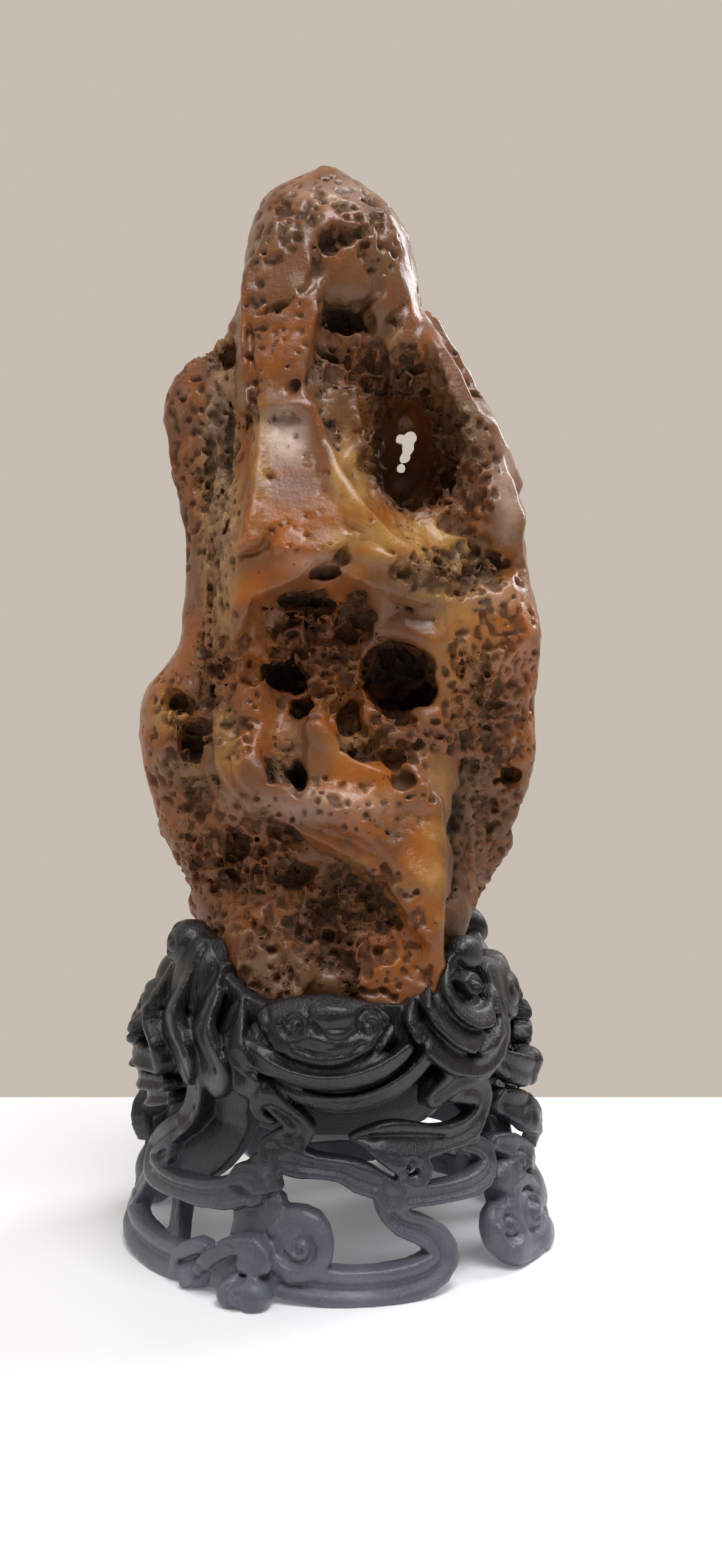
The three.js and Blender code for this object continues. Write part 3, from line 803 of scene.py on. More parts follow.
def sculptStone():
    form = stoneForm
    for corners, slope in form["facets"].values():
        stone.add(facet(corners, slope), 3.0)
    trimToOutline()
    for points, radius, sink in form["ribs"]:
        path = smoothCurve(onFront(points, sink), 5.0)
        stone.add(stroke(path, radius), 4.0)
    for u, v, sink, size, turn, soft in form["hollows"].values():
        stone.cut(oval(onFront([(u, v)], sink)[0], size, turn), soft, stoneWarp)
    for u, v, radius in form["seeThrough"]:
        line = np.array([sighted(u, v, depth) for depth in (-12, 20, 62)])
        stone.cut(stroke(line, (radius, radius, radius + 2)), 1.0)
    stone.cut(oval(*form["windowBack"]), 5, stoneWarp)
    for points, radius, sink in form["gullies"]:
        path = smoothCurve(onFront(points, sink), 4.0)
        stone.cut(stroke(path, radius), 1.4, 0.6 * stoneWarp)


sculptStone()
print("stone front sculpted")


def sculptSides():
    dice = np.random.default_rng(21)
    for points, radius in stoneForm["folds"]:
        stone.cut(stroke(smoothCurve(points, 6.0), radius), 4.0, 1.2 * stoneWarp)
    for at, size in stoneForm["pockets"]:
        stone.cut(oval(at, size, dice.uniform(-25, 25, 3)), 4.0, 1.8 * stoneWarp)


sculptSides()
print("stone back sculpted")


def onFullGrid(coarse, shape):
    for k in range(3):
        coarse = np.repeat(coarse, 2, axis=k)
    pad = [(0, max(0, n - m)) for n, m in zip(shape, coarse.shape)]
    return np.pad(coarse, pad, mode="edge")[:shape[0], :shape[1], :shape[2]]


def patches(places, u, v, most=1.0):
    total = 0
    for atU, atV, halfU, halfV, amount in places:
        total = total + amount * np.exp(-(((u - atU) / halfU) ** 2 + ((v - atV) / halfV) ** 2) ** 2)
    return np.clip(total, 0, most)


def tearStone():  # eats an uneven network into the torn places and into patches of the back
    form = stoneForm
    axes = stone.axes
    worn = cloudNoise(axes, form["tornSize"][0], 51) + 0.6 * cloudNoise(axes, form["tornSize"][1], 52)
    worn = ramp(np.abs(worn), 0.05, 0.5)
    most, size = form["backTorn"]
    behind = most * ramp(cloudNoise(axes, size, 53), 0.05, 0.5)
    x, y, z = axes
    atX, atZ, halfX, halfZ = form["wallKept"]
    fromWall = np.hypot((x[:, None] - atX) / halfX, (z[None, :] - atZ) / halfZ)
    behind *= ramp(fromWall, 0.8, 1.3)[:, None, :]
    for j, depth in enumerate(y):
        stone.field[:, j, :] += worn[:, j, :] * behind[:, j, :] * ramp(depth, 4, 20)
        if depth < 24:
            u, v = sightGrid(depth, x, z)
            torn = patches(form["tornPlaces"], u, v, 9)
            stone.field[:, j, :] += worn[:, j, :] * torn * (1 - ramp(depth, 6, 24))


def findShelter():  # 1 in hollows and in the rough places, 0 on the faces that were worn smooth
    form = stoneForm
    x, y, z = stone.axes
    sheltered = onFullGrid(averageAround(stone, 7.0, 12.0), stone.field.shape)
    sheltered = ramp(-sheltered, 0.02, 0.30)
    for j, depth in enumerate(y):
        u, v = sightGrid(depth, x, z)
        facing = 1 - ramp(depth, -5, 25)
        rough = patches(form["roughPlaces"], u, v) * facing
        calm = patches(form["smoothPlaces"], u, v) * facing
        torn = patches(form["tornPlaces"], u, v, 8) / 8 * facing
        sheltered[:, j, :] = np.maximum(np.maximum(sheltered[:, j, :], rough), torn) * (1 - 0.9 * calm)
    return sheltered


def roughenStone(sheltered):
    form = stoneForm
    axes = stone.axes
    x, y, z = axes
    bare = 1 - 0.6 * sheltered
    for number, key in enumerate(("lumps", "dents", "ripple")):
        height, size = form[key]
        stone.field += height * cloudNoise(axes, size, 31 + number) * bare
    height, size = form["crust"]
    stone.field += sheltered * height * (1 - 2.4 * np.abs(cloudNoise(axes, size, 41)))
    height, size = form["grit"]
    stone.field += sheltered * height * cloudNoise(axes, size, 43)
    height, size = form["striation"]
    band = np.exp(-(((x + 43) / 9) ** 4))[:, None, None] * ramp(z, 205, 235)[None, None, :]
    band = band * (1 - ramp(z, 335, 350))[None, None, :] * (1 - ramp(y, -2, 14))[None, :, None]
    stone.field += band * height * cloudNoise(axes, size, 47)


def pitStone():
    form = stoneForm
    dice = np.random.default_rng(7)
    x, y, z = stone.axes
    sights, sizes = [], []
    for atU, atV, halfU, halfV, count, small, large in form["pits"]:
        turn, away = dice.uniform(0, 2 * math.pi, count), np.sqrt(dice.uniform(0, 1, count))
        u, v = atU + halfU * away * np.cos(turn), atV + halfV * away * np.sin(turn)
        sights.append(np.stack([u, v], axis=1))
        sizes.append(small + (large - small) * dice.uniform(0, 1, count) ** 2.2)
    sights, sizes = np.vstack(sights), np.concatenate(sizes)
    places = frontHits(sights)
    near = np.argwhere(np.abs(stone.field[:, ::2, ::2]) < 0.4) * [1, 2, 2]
    near = near[y[near[:, 1]] > -6]
    atX, atZ, halfX, halfZ = form["pitlessWall"]
    near = near[np.hypot((x[near[:, 0]] - atX) / halfX, (z[near[:, 2]] - atZ) / halfZ) > 1]
    count, small, large = form["backPits"]
    chosen = near[dice.integers(0, len(near), count)]
    behind = np.stack([x[chosen[:, 0]], y[chosen[:, 1]], z[chosen[:, 2]]], axis=1)
    places = np.vstack([places, behind])
    sizes = np.concatenate([sizes, small + (large - small) * dice.uniform(0, 1, len(behind)) ** 2.2])
    stretch = dice.uniform(0.75, 1.5, (len(places), 3))
    for place, size, long in zip(places, sizes, stretch):
        stone.cut(oval(place, 0.9 * size * long), 0.5)


tearStone()
stoneShelter = findShelter()
roughenStone(stoneShelter)
stoneUnpitted = stone.field.copy()
pitStone()
print("stone weathered")
stonePiece = makePiece("stoneSkin", stone, stoneForm["triangles"], 1)


def paintStone(piece):
    points = pointsOf(piece)
    eye = viewPoint["eye"]
    scale = sightScale(np.minimum(points[:, 1], 0))
    u = eye[0] + (points[:, 0] - eye[0]) / scale
    v = eye[2] + (points[:, 2] - eye[2]) / scale
    facing = 1 - ramp(points[:, 1], -4, 20)
    below = -readGrid(stoneUnpitted, stone.low, stone.step, points)
    paintMask(piece, "worn", readGrid(stoneShelter, stone.low, stone.step, points))
    paintMask(piece, "sunk", np.clip(below - 0.15, 0, 0.9) / 0.9)
    paintMask(piece, "rise", np.clip(exposure(stone, points, 3.0, 6.0), -1, 1))
    paintMask(piece, "form", np.clip(exposure(stone, points, 11.0, 16.0), -1, 1))
    # of these masks, amber and ochre are the stone's own colour, the third is painted shade and the fourth a
    # painted sheen
    for mask in ("amber", "ochre", "paintedShade", "bloom"):
        paintMask(piece, mask, patches(stoneForm[mask + "Places"], u, v) * facing)


paintStone(stonePiece)
print("stone masks painted")


def makeGrainGroup():  # fine grain and mottling, for the stone and for the wood
    group = bpy.data.node_groups.new("fine grain", "ShaderNodeTree")
    face = group.interface
    for name, kind in (("Vector", "NodeSocketVector"), ("Grain Size", "NodeSocketFloat"),
                       ("Mottle Size", "NodeSocketFloat"), ("Coarseness", "NodeSocketFloat")):
        face.new_socket(name, in_out="INPUT", socket_type=kind)
    for name in ("Height", "Mottle", "Speck"):
        face.new_socket(name, in_out="OUTPUT", socket_type="NodeSocketFloat")
    enter = group.nodes.new("NodeGroupInput")
    leave = group.nodes.new("NodeGroupOutput")
    place, grainSize, mottleSize = (enter.outputs[name] for name in ("Vector", "Grain Size", "Mottle Size"))
    grain = noiseOf(group, place, maths(group, "DIVIDE", 1.0, grainSize), 4.0, 0.7)
    mottle = noiseOf(group, place, maths(group, "DIVIDE", 1.0, mottleSize), 4.0, 0.6)
    fine = noiseOf(group, place, maths(group, "DIVIDE", 2.7, grainSize), 2.0, 0.6)
    height = maths(group, "MULTIPLY", maths(group, "SUBTRACT", grain, 0.5), enter.outputs["Coarseness"])
    group.links.new(height, leave.inputs["Height"])
    group.links.new(mottle, leave.inputs["Mottle"])
    group.links.new(fade(group, fine, 0.60, 0.72), leave.inputs["Speck"])
    return group


grainGroup = makeGrainGroup()


def poresOf(tree, place, size, amount):  # round pits of about one size, more and wider where amount is high
    cells = addNode(tree, "ShaderNodeTexVoronoi", {"Vector": place, "Scale": 1 / size, "Randomness": 1.0})
    luck = addNode(tree, "ShaderNodeSeparateColor", {"Color": cells.outputs["Color"]}).outputs["Red"]
    width = maths(tree, "MULTIPLY", maths(tree, "SUBTRACT", amount, maths(tree, "MULTIPLY", luck, 0.7)), 0.62)
    near = maths(tree, "SUBTRACT", width, cells.outputs["Distance"])
    return fade(tree, near, -0.02, 0.16)


def makeStoneFinish():
    material = bpy.data.materials.new("waxed rock")
    material.use_nodes = True
    tree = material.node_tree
    shader = tree.nodes["Principled BSDF"]
    place = addNode(tree, "ShaderNodeTexCoord").outputs["Object"]
    tone = stoneForm["colours"]
    rise, form, worn = maskOf(tree, "rise"), maskOf(tree, "form"), maskOf(tree, "worn")
    grain = addNode(tree, "ShaderNodeGroup", node_tree=grainGroup)
    for key, value in (("Grain Size", 0.0016), ("Mottle Size", 0.014)):
        grain.inputs[key].default_value = value
    tree.links.new(place, grain.inputs["Vector"])
    mottle = grain.outputs["Mottle"]
    broad = noiseOf(tree, place, 28.0, 4.0, 0.6, 0.6)
    flecks = noiseOf(tree, place, 210.0, 3.0, 0.6)
    amount = maths(tree, "ADD", maths(tree, "MULTIPLY", worn, 0.75), fade(tree, broad, 0.46, 0.66, 0.0, 0.28))
    coarse = poresOf(tree, place, 0.0042, amount)
    small = poresOf(tree, place, 0.0019, maths(tree, "ADD", amount, 0.1))
    pores = maths(tree, "MAXIMUM", coarse, maths(tree, "MULTIPLY", small, 0.8))

    amber = maths(tree, "ADD", maths(tree, "MULTIPLY", maskOf(tree, "amber"), 0.9),
                  fade(tree, broad, 0.44, 0.68, 0, 0.75), clamp=True)
    ochre = maths(tree, "ADD", maskOf(tree, "ochre"), fade(tree, mottle, 0.5, 0.8, 0, 0.5))
    ochre = maths(tree, "MULTIPLY", ochre, fade(tree, mottle, 0.25, 0.6), clamp=True)
    colour = mixColour(tree, amber, tone["pinkBrown"], tone["amber"])
    colour = mixColour(tree, ochre, colour, tone["ochre"])
    colour = mixColour(tree, fade(tree, broad, 0.34, 0.52, 0.7, 0.0), colour, tone["umber"])
    # painted sheen: the paler colour on the facet and the upper edges
    pale = maths(tree, "MULTIPLY", maskOf(tree, "bloom"), fade(tree, mottle, 0.3, 0.62, 0.25, 0.8))
    colour = mixColour(tree, pale, colour, tone["bloom"])
    dusk = maths(tree, "MULTIPLY", fade(tree, worn, 0.25, 0.9), fade(tree, flecks, 0.62, 0.40, 0.1, 0.9))
    colour = mixColour(tree, dusk, colour, tone["umber"])
    colour = mixColour(tree, fade(tree, flecks, 0.66, 0.74, 0.0, 0.8), colour, tone["plum"])
    # Darker in hollows, pits and pores, with the painted shade of the window and the holes added: partly the
    # stone's darker rough recesses, partly painted shade
    lowness = maths(tree, "ADD", rise, maths(tree, "MULTIPLY", form, 0.8))
    uneven = maths(tree, "MULTIPLY", maths(tree, "SUBTRACT", mottle, 0.5), 0.25)
    lowness = maths(tree, "ADD", lowness, uneven)
    hollow = fade(tree, lowness, -0.12, -0.7, 0.0, 0.55)
    hollow = maths(tree, "ADD", hollow, maths(tree, "MULTIPLY", maskOf(tree, "paintedShade"), 0.72), clamp=True)
    stainAndShade = maths(tree, "MAXIMUM", hollow, maths(tree, "MULTIPLY", pores, 0.6))
    stainAndShade = maths(tree, "MAXIMUM", stainAndShade, maths(tree, "MULTIPLY", maskOf(tree, "sunk"), 0.66))
    colour = mixColour(tree, stainAndShade, colour, tone["hollow"])
    tree.links.new(colour, shader.inputs["Base Color"])

    tree.links.new(maths(tree, "ADD", maths(tree, "MULTIPLY", worn, 1.2), 0.2), grain.inputs["Coarseness"])
    smooth, pitted = stoneForm["roughness"]
    rough = fade(tree, stainAndShade, 0.15, 0.8, smooth, pitted)
    rough = maths(tree, "ADD", rough, maths(tree, "MULTIPLY", mottle, 0.14))
    rough = maths(tree, "SUBTRACT", rough, maths(tree, "MULTIPLY", grain.outputs["Speck"], 0.2), clamp=True)
    tree.links.new(rough, shader.inputs["Roughness"])
    orangePeel = maths(tree, "MULTIPLY", noiseOf(tree, place, 330.0, 3.0), 0.3)
    height = maths(tree, "ADD", grain.outputs["Height"], orangePeel)
    height = maths(tree, "SUBTRACT", height, maths(tree, "MULTIPLY", pores, 0.9))
    bump = addNode(tree, "ShaderNodeBump", {"Height": height, "Strength": 0.8, "Distance": 0.0013})
    tree.links.new(bump.outputs["Normal"], shader.inputs["Normal"])
    tree.links.new(fade(tree, stainAndShade, 0.05, 0.5, stoneForm["coat"], 0.0), shader.inputs["Coat Weight"])
    shader.inputs["Coat Roughness"].default_value = stoneForm["coatRoughness"]
    shader.inputs["Specular IOR Level"].default_value = stoneForm["shine"]
    amount, reach = stoneForm["scatter"]
    shader.inputs["Subsurface Weight"].default_value = amount
    shader.inputs["Subsurface Radius"].default_value = reach
    shader.inputs["Subsurface Scale"].default_value = 0.4
    return material


stonePiece.data.materials.append(makeStoneFinish())
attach(stonePiece, "root")
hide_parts("stone")
print("stone finished")


# Carving on the stand is laid out on a waisted shell: angle from the front in degrees, positive to the right,
# height in mm, and how far inside the shell it lies. The back is the front turned half way round.
standForm = {
    # The shell, the bowl and its rim
    "step": 0.75,
    "triangles": 194000,
    "shell": ([0, 15, 30, 50, 65, 80, 100, 122], [78, 75, 71, 65, 67, 67, 62, 58]),  # heights and radii
    # the bowl's side, and its rim in angles and heights
    "bowlSide": ([36, 38, 44, 54, 64, 76, 88, 130], [10, 24, 38, 48, 55, 59.5, 60, 57]),
    "rim": ([-90, -75, -62, -50, -38, -28, -18, 0, 14, 24, 34, 46, 58, 70, 90],
            [100, 106, 116, 113, 101, 95, 93, 95, 94, 93, 98, 108, 110, 103, 100]),
    "wellRadius": 51,  # the collar's wall rises round this well
    "wellFloor": 80,
    "socketGap": 0.4,
    # Carving
    "bars": {  # width, thickness, groove depth, lean, then angle, height, inset and share of the width
        "footRibbon": (11.5, 8, 1.5, 0,
                       [(-12, 7, 4, 0.9), (-4, 6, 3.5, 1), (6, 5.2, 3.2, 1), (17, 5.4, 3, 1),
                        (25, 7, 3, 1), (30, 11, 3.2, 1), (29, 16.5, 3.6, 0.9), (24.5, 20.5, 4, 0.8),
                        (19, 23.5, 4, 0.7), (16, 28, 4, 0.7), (16.5, 33, 4, 0.8)]),
        "leftRibbon": (11.5, 8, 1.5, 0,
                       [(-79, 14, 2, 0.7), (-78, 9, 1, 1), (-69, 7, 1.5, 1), (-60, 6, 2.5, 1),
                        (-50, 5.6, 3, 1), (-40, 6, 4, 0.9)]),
        "outerPost": (8.5, 8, 0.8, 0,
                      [(-63, 36, 5, 1.2), (-69, 29, 4, 1), (-74, 22, 3, 1), (-78, 13, 2, 1)]),
        "leftLoop": (10, 7.5, 1.3, 0,
                     [(-52, 54, 8, 0.9), (-59, 47, 5, 1), (-67, 40.5, 3, 1.1), (-74, 34.5, 2.5, 1),
                      (-71, 29.5, 2.5, 1), (-60, 28, 3, 0.8), (-48, 28.6, 3, 0.75), (-36, 29.6, 3, 0.9),
                      (-27, 32, 3.5, 1.1), (-19, 36, 4, 0.9)]),
        "leftStrap": (14, 9, 0.8, 0.2,
                      [(-47, 76, 6, 1), (-49, 66, 6, 1.1), (-52, 57, 7, 0.9), (-57, 49, 6, 0.8)]),
        "innerPanel": (26, 9, 0, 0.1,
                       [(-39, 74, 9, 1), (-40, 60, 12, 1), (-43, 48, 13, 1), (-50, 38, 12, 0.8),
                        (-60, 31, 9, 0.5)]),
        "innerPost": (8, 7, 0.5, 0,
                      [(-58, 33, 9, 1), (-57, 24, 10, 0.9), (-54, 15, 9, 0.9), (-51, 7, 7, 1.1)]),
        "kneePlate": (19, 7, 0.9, 0.1,
                      [(-21, 38, 5, 0.7), (-21, 31, 5, 1), (-20, 22, 5, 1.1), (-22, 12, 5, 1)]),
        "kneeHook": (6, 6, 0.4, 0,
                     [(-30, 34, 3, 0.6), (-27, 38, 2.5, 1), (-22, 38, 2.5, 1), (-19, 34, 2, 1),
                      (-22, 30, 2.5, 0.7)]),
        "stem": (10, 8, 1.1, 0,
                 [(-26, 79, 5, 1.2), (-23, 70, 4, 1.1), (-18, 63, 4, 0.8), (-12.5, 57.5, 4, 0.8),
                  (-9, 53, 3.5, 1), (-13, 49, 4, 1), (-18.5, 46, 4.5, 0.9), (-18, 40, 4.5, 0.75),
                  (-20, 34, 5, 0.9)]),
        "stemCurl": (5, 6, 0.3, 0,
                     [(-13, 60, 3, 0.6), (-17, 64, 2, 1), (-22, 62, 2, 1), (-22, 57, 3, 0.8),
                      (-18, 55, 4, 0.5)]),
        "crossBranch": (8.5, 8, 1.0, 0.15,
                        [(-18, 46, 5, 1), (-12, 43, 4, 1.2), (-4, 41.5, 4, 0.9), (3, 40.5, 4, 0.9),
                         (8, 38, 4, 1.15), (14, 35, 4, 1), (18, 31, 4, 0.9)]),
        "rightBranch": (7.5, 7.5, 0.9, 0,
                        [(16, 31.5, 4, 1.2), (25, 31, 3.5, 0.9), (36, 30.6, 3, 0.9), (46, 31, 3, 1),
                         (52, 33.5, 3, 1), (54, 38, 3.5, 1.1), (50, 42, 4.5, 1), (43, 44, 5, 0.8),
                         (37, 46, 5, 0.7)]),
        "leaf": (11.5, 6.5, 1.0, 0,
                 [(6, 50.5, 3, 0.15), (11, 50.5, 2, 0.65), (17, 50, 1, 1.05), (24, 48.5, 1, 1.1),
                  (32, 47.4, 2, 0.85), (40, 47, 3, 0.75), (48, 48, 3, 0.75), (53.5, 51, 3, 0.8),
                  (56, 56, 3, 0.9), (52, 61, 4, 1.1), (44, 63.5, 5, 1.1), (35, 64, 7, 0.9)]),
        "leafCurl": (5.5, 6, 0.4, 0,
                     [(12, 46.5, 1, 0.5), (18, 43.6, 0.5, 1), (23.5, 42.5, 0.5, 1), (27.5, 39.5, 1, 1),
                      (25, 36, 2, 1), (20.5, 37.4, 2, 0.7)]),
        "leafCurlLow": (4, 5, 0.3, 0, [(14, 44, 1, 0.6), (19, 40.6, 0.6, 1), (22, 39, 0.6, 0.7)]),
        "lip": (7, 7, 0, 0.5,
                [(-25, 80, 2, 0.8), (-17, 74, 0, 1), (-7, 70.4, -0.5, 1), (4, 70, -0.5, 1),
                 (14, 73, 0, 1), (22, 79, 1, 0.8)]),
        "lowerLip": (8, 7, 0.3, 0.5,
                     [(-17, 70, 4, 0.8), (-8, 65, 3, 1), (2, 62.6, 3, 1), (12, 64, 3, 1),
                      (22, 69, 3, 1), (29, 76, 2, 0.8)]),
        "lobeLeaf": (11, 6, 1.2, 0.2,
                     [(-13, 76, 1, 0.8), (-19, 76, -0.5, 1.1), (-26, 78.5, -0.5, 1),
                      (-31, 83, 0.5, 0.3)]),
        "foldA": (17, 6, 0.6, 0.42,
                  [(-31, 94, 5, 0.25), (-31.5, 87, 2, 0.8), (-31, 79, 0.5, 1), (-26, 70, 1, 0.9)]),
        "foldB": (21, 6, 0.6, 0.42,
                  [(-42, 103, 5, 0.3), (-44, 95, 2, 0.9), (-45, 84, 0, 1.1), (-38, 71, 1, 1)]),
        "foldC": (23, 7, 0.8, 0.42,
                  [(-56, 108, 4, 0.4), (-58, 99, 1, 0.9), (-60, 87, -1, 1.1), (-52, 74, 1, 1)]),
        "foldD": (20, 8, 0.8, 0.30,
                  [(-72, 104, 3, 0.5), (-75, 95, 0, 1), (-76, 84, -3, 1.1), (-68, 72, -1, 0.8)]),
        "foldTip": (11, 8, 0.8, 0.2,
                    [(-70, 90, -3, 0.7), (-77, 84, -6, 1.1), (-82, 76, -7, 1), (-88, 70, -5, 0.3)]),
        "farStepA": (10, 8, 0.5, 0.3,
                     [(-64, 68, 0, 0.8), (-74, 69, -5, 1), (-84, 66, -6, 0.9), (-92, 62, -4, 0.4)]),
        "farStepB": (8, 8, 0.5, 0.3, [(-66, 60, 2, 0.8), (-76, 59, -4, 1), (-86, 57, -5, 0.8)]),
        "farStepC": (7, 8, 0.4, 0.3, [(-68, 54, 4, 0.8), (-77, 52, -2, 1), (-84, 50, -2, 0.7)]),
        "hookA": (8, 7, 0, -0.45,
                  [(27, 94, 5, 0.3), (25.5, 88, 2, 0.9), (29, 81, 0.5, 1), (37, 73.5, 0.5, 1),
                   (48, 71, 0, 1), (57, 74, 0, 0.8)]),
        "hookB": (7.5, 7, 0, -0.45,
                  [(34, 98, 5, 0.3), (32, 92, 1.5, 0.9), (35, 86, -0.5, 1), (42, 80, -1, 1),
                   (52, 79, -1, 0.9), (60, 84, -1, 0.7)]),
        "hookC": (6.5, 7, 0, -0.4,
                  [(42, 105, 4, 0.4), (39, 99, 1, 0.9), (40, 92, -1, 1), (46, 87, -2, 1),
                   (54, 88, -2, 0.9), (59, 94, -1, 0.6)]),
        "rightFlange": (11, 8, 1.0, -0.2,
                        [(63, 100, 2, 0.7), (63, 88, 0, 1), (58, 77, -1, 1.1), (50, 70, 0, 1),
                         (41, 67, 3, 1.1), (34, 61, 6, 0.8)]),
        "farLeg": (17, 10, 0.8, 0.2,
                   [(74, 74, 6, 1), (75, 60, 7, 1), (73, 47, 7, 0.9), (69, 34, 6, 0.9), (66, 22, 5, 1),
                    (65, 12, 4, 1)]),
        "farSpurA": (11, 7, 0.6, 0.2,
                     [(66, 68, 3, 0.8), (74, 63, -3, 1), (82, 60, -8, 0.9), (88, 62, -8, 0.6),
                      (91, 66, -5, 0.2)]),
        "farSpurB": (12, 7, 0.6, 0.2,
                     [(68, 53, 2, 0.8), (76, 48, -5, 1.1), (83, 42, -8, 0.9), (86, 36, -6, 0.5),
                      (86, 31, -3, 0.2)]),
        "farSpurC": (9, 7, 0.5, 0.2,
                     [(60, 40, 3, 0.7), (68, 37, 0, 1), (75, 31, -2, 1), (80, 24, 0, 0.7)]),
        "footCurlA": (6, 8, 0.3, 0,
                      [(52, 14, 3, 0.7), (54, 6, 1, 1), (62, 3.5, 0, 1), (71, 4, -1, 1), (78, 9, -1, 1),
                       (80, 17, 0, 0.8)]),
        "footCurlB": (6, 8, 0.3, 0,
                      [(60, 24, 2, 0.7), (66, 25.5, 0, 1), (72, 21, -1, 1), (72, 13, -1, 1),
                       (66, 10, -0.5, 0.8)]),
        "knotArcA": (5, 7, 0.2, 0,
                     [(-44, 3, 2, 0.6), (-42, 9.5, 1, 1), (-36, 14, 0, 1), (-30, 13, 0, 0.8)]),
        "knotArcB": (5.5, 7, 0.2, 0,
                     [(-38, 2.5, 0.5, 0.8), (-33, 9, -1.5, 1), (-27, 16, -2, 1), (-19, 18.5, -2, 1),
                      (-15.5, 13, -2, 0.9), (-20, 10.5, -1.5, 0.6)]),
        "ear": (5.5, 7, 0, -0.3,
                [(-15.5, 22, 3, 0.6), (-11, 26.5, 3, 1), (-4, 25, 2.5, 1), (-1, 18.5, 2, 1),
                 (-3, 12, 2, 1), (-10, 9.5, 2, 1), (-14, 13, 2, 0.7)]),
    },
    "bosses": [  # angle, height, inset, half sizes across, outward and up, lean in degrees
        (-26, 8.5, 3, 13, 5, 7.5, 0), (-36, 6, 3, 10, 5, 6, 8), (-20, 4, -2.5, 9, 7, 6, 0),
        (-8, 17.5, 3, 9, 4, 9, 0), (-20, 13, -1, 4.5, 4, 4, 0), (-21, 35, 4, 9, 4.5, 4, -10),
        (65, 14, 2, 13, 6, 12, 0), (57, 6, 2, 8, 6, 6, 0), (72, 5.5, 0, 10, 7, 6, 0),
        (78, 19, 1, 8, 7, 9, 0), (66, 15, -1.5, 5, 5, 5, 0), (62, 28, 3, 8, 5, 6, 0),
        (70, 31, 1, 8, 5, 5, 0), (-3, 86, 3.5, 26, 5.5, 11.5, 0), (-11, 88.5, 1.5, 5, 4, 4.5, 0),
        (-1, 91.5, 0.5, 10, 4, 4, 0), (11, 88, 1.5, 6.5, 4, 5.5, 0), (2, 75, 3, 20, 5, 7, 0),
        (-1, 84.5, 0, 9, 3.6, 2.6, 0), (5, 80, 1, 13, 3.6, 3, 8), (-64, 111, 1, 9, 7, 8, 12),
        (-78, 88, -2, 9, 7, 8, 0), (-86, 95, 2, 9, 7, 9, 0), (-57, 100, 3, 14, 6, 14, 0),
        (47, 98, -1, 5.5, 6, 5, 0), (55, 108, 3, 8, 5, 6, 0), (68, 96, 3, 10, 6, 9, 0),
        (80, 92, 2, 12, 7, 12, 0), (84, 63, -6, 6, 6, 6, 0), (81, 45, -5, 8, 6, 7, 8),
        (44, 86, 4, 16, 6, 14, 0), (55, 12, 5, 8, 5, 9, 0),
    ],
    "curls": [  # spirals: angle, height, first and last radius, turns, start in degrees, depth
        (-7.5, 17.5, 5.2, 1.2, 1.3, 200, 1.2), (-20, 4, 5.0, 1.2, 1.0, 90, 0.9),
        (-34, 7, 4.0, 1.0, 1.0, 300, 0.9), (66, 15, 8.5, 1.6, 1.8, 30, 1.2),
        (56, 14, 5.5, 1.4, 1.3, 120, 1.1), (70, 31, 5, 1.2, 1.2, 0, 1.1),
        (47, 98, 4.6, 1.0, 1.2, 180, 1.2), (-11, 88.5, 4.2, 0.8, 1.1, 180, 1.1),
        (11, 88, 5.4, 1.0, 1.2, 0, 1.1), (-64, 111, 6.0, 1.4, 1.1, 90, 1.0),
        (-78, 86, 6, 1.5, 1.3, 60, 1.2), (80, 90, 9, 2, 1.5, 0, 1.2),
        (24, 39.5, 3.2, 0.9, 1.0, 90, 0.8),
    ],
    "veins": [  # cut lines: depth, half width, points of angle and height
        (1.3, 1.1, [(-24, 88), (-16, 79), (-6, 74.5), (4, 74.5), (12, 80), (18, 87)]),
        (1.5, 1.3, [(-22, 73), (-12, 68), (0, 66), (12, 68), (22, 74), (27, 82)]),
        (1.0, 0.9, [(-7, 93), (-4, 87), (1, 84), (8, 86), (10, 91)]),
        (0.9, 0.8, [(-20, 92), (-18, 87), (-21, 83)]),
        (0.9, 0.8, [(-10, 81), (-4, 79), (4, 79.5), (9, 82)]),
        (1.0, 0.9, [(-48, 74), (-46, 64), (-50, 55)]),
        (1.2, 1.0, [(-50, 112), (-49, 98), (-48, 86), (-44, 76)]),
        (1.2, 1.0, [(-38, 104), (-39, 92), (-37, 80), (-34, 72)]),
        (1.2, 1.0, [(-64, 104), (-64, 90), (-60, 78)]),
        (1.0, 0.9, [(54, 100), (56, 90), (52, 82), (44, 76)]),
        (1.0, 0.9, [(-88, 76), (-78, 76), (-70, 73)]), (1.0, 0.9, [(-90, 66), (-80, 66), (-72, 63)]),
        (0.9, 0.8, [(12, 51), (20, 51), (28, 49.5), (36, 47.5)]),
        (0.8, 0.8, [(-42, 7), (-36, 10), (-30, 16), (-24, 18)]),
        (0.9, 0.8, [(-29, 33), (-22, 31), (-14, 33)]), (0.8, 0.8, [(68, 70), (70, 56), (68, 44)]),
        (0.8, 0.8, [(80, 70), (79, 56), (76, 44)]),
    ],
    # Finish
    "black": (0.004, 0.004, 0.0055, 1),
    "rubbed": (0.013, 0.012, 0.013, 1),
    "dustAndReflection": ((0.135, 0.148, 0.184, 1), 4, 56),  # pale dust and painted reflection of the white table, low on the feet: colour, lowest and highest height
    "roughness": 0.19,
    "coat": 0.2,
    "coatRoughness": 0.16,
}


def shellRadius(height):
    return np.interp(height, *standForm["shell"])


def onShell(angle, height, inset=0.0):
    turn, radius = math.radians(angle), shellRadius(height) - inset
    return np.array([radius * math.sin(turn), -radius * math.cos(turn), height])


def shellPlace(middle, x, y, z):  # mm round the shell from an angle, and mm outwards from the shell
    turn = np.arctan2(x, -y) - math.radians(middle)
    turn = (turn + math.pi) % (2 * math.pi) - math.pi
    radius = shellRadius(z)
    return turn * radius, np.sqrt(x * x + y * y) - radius


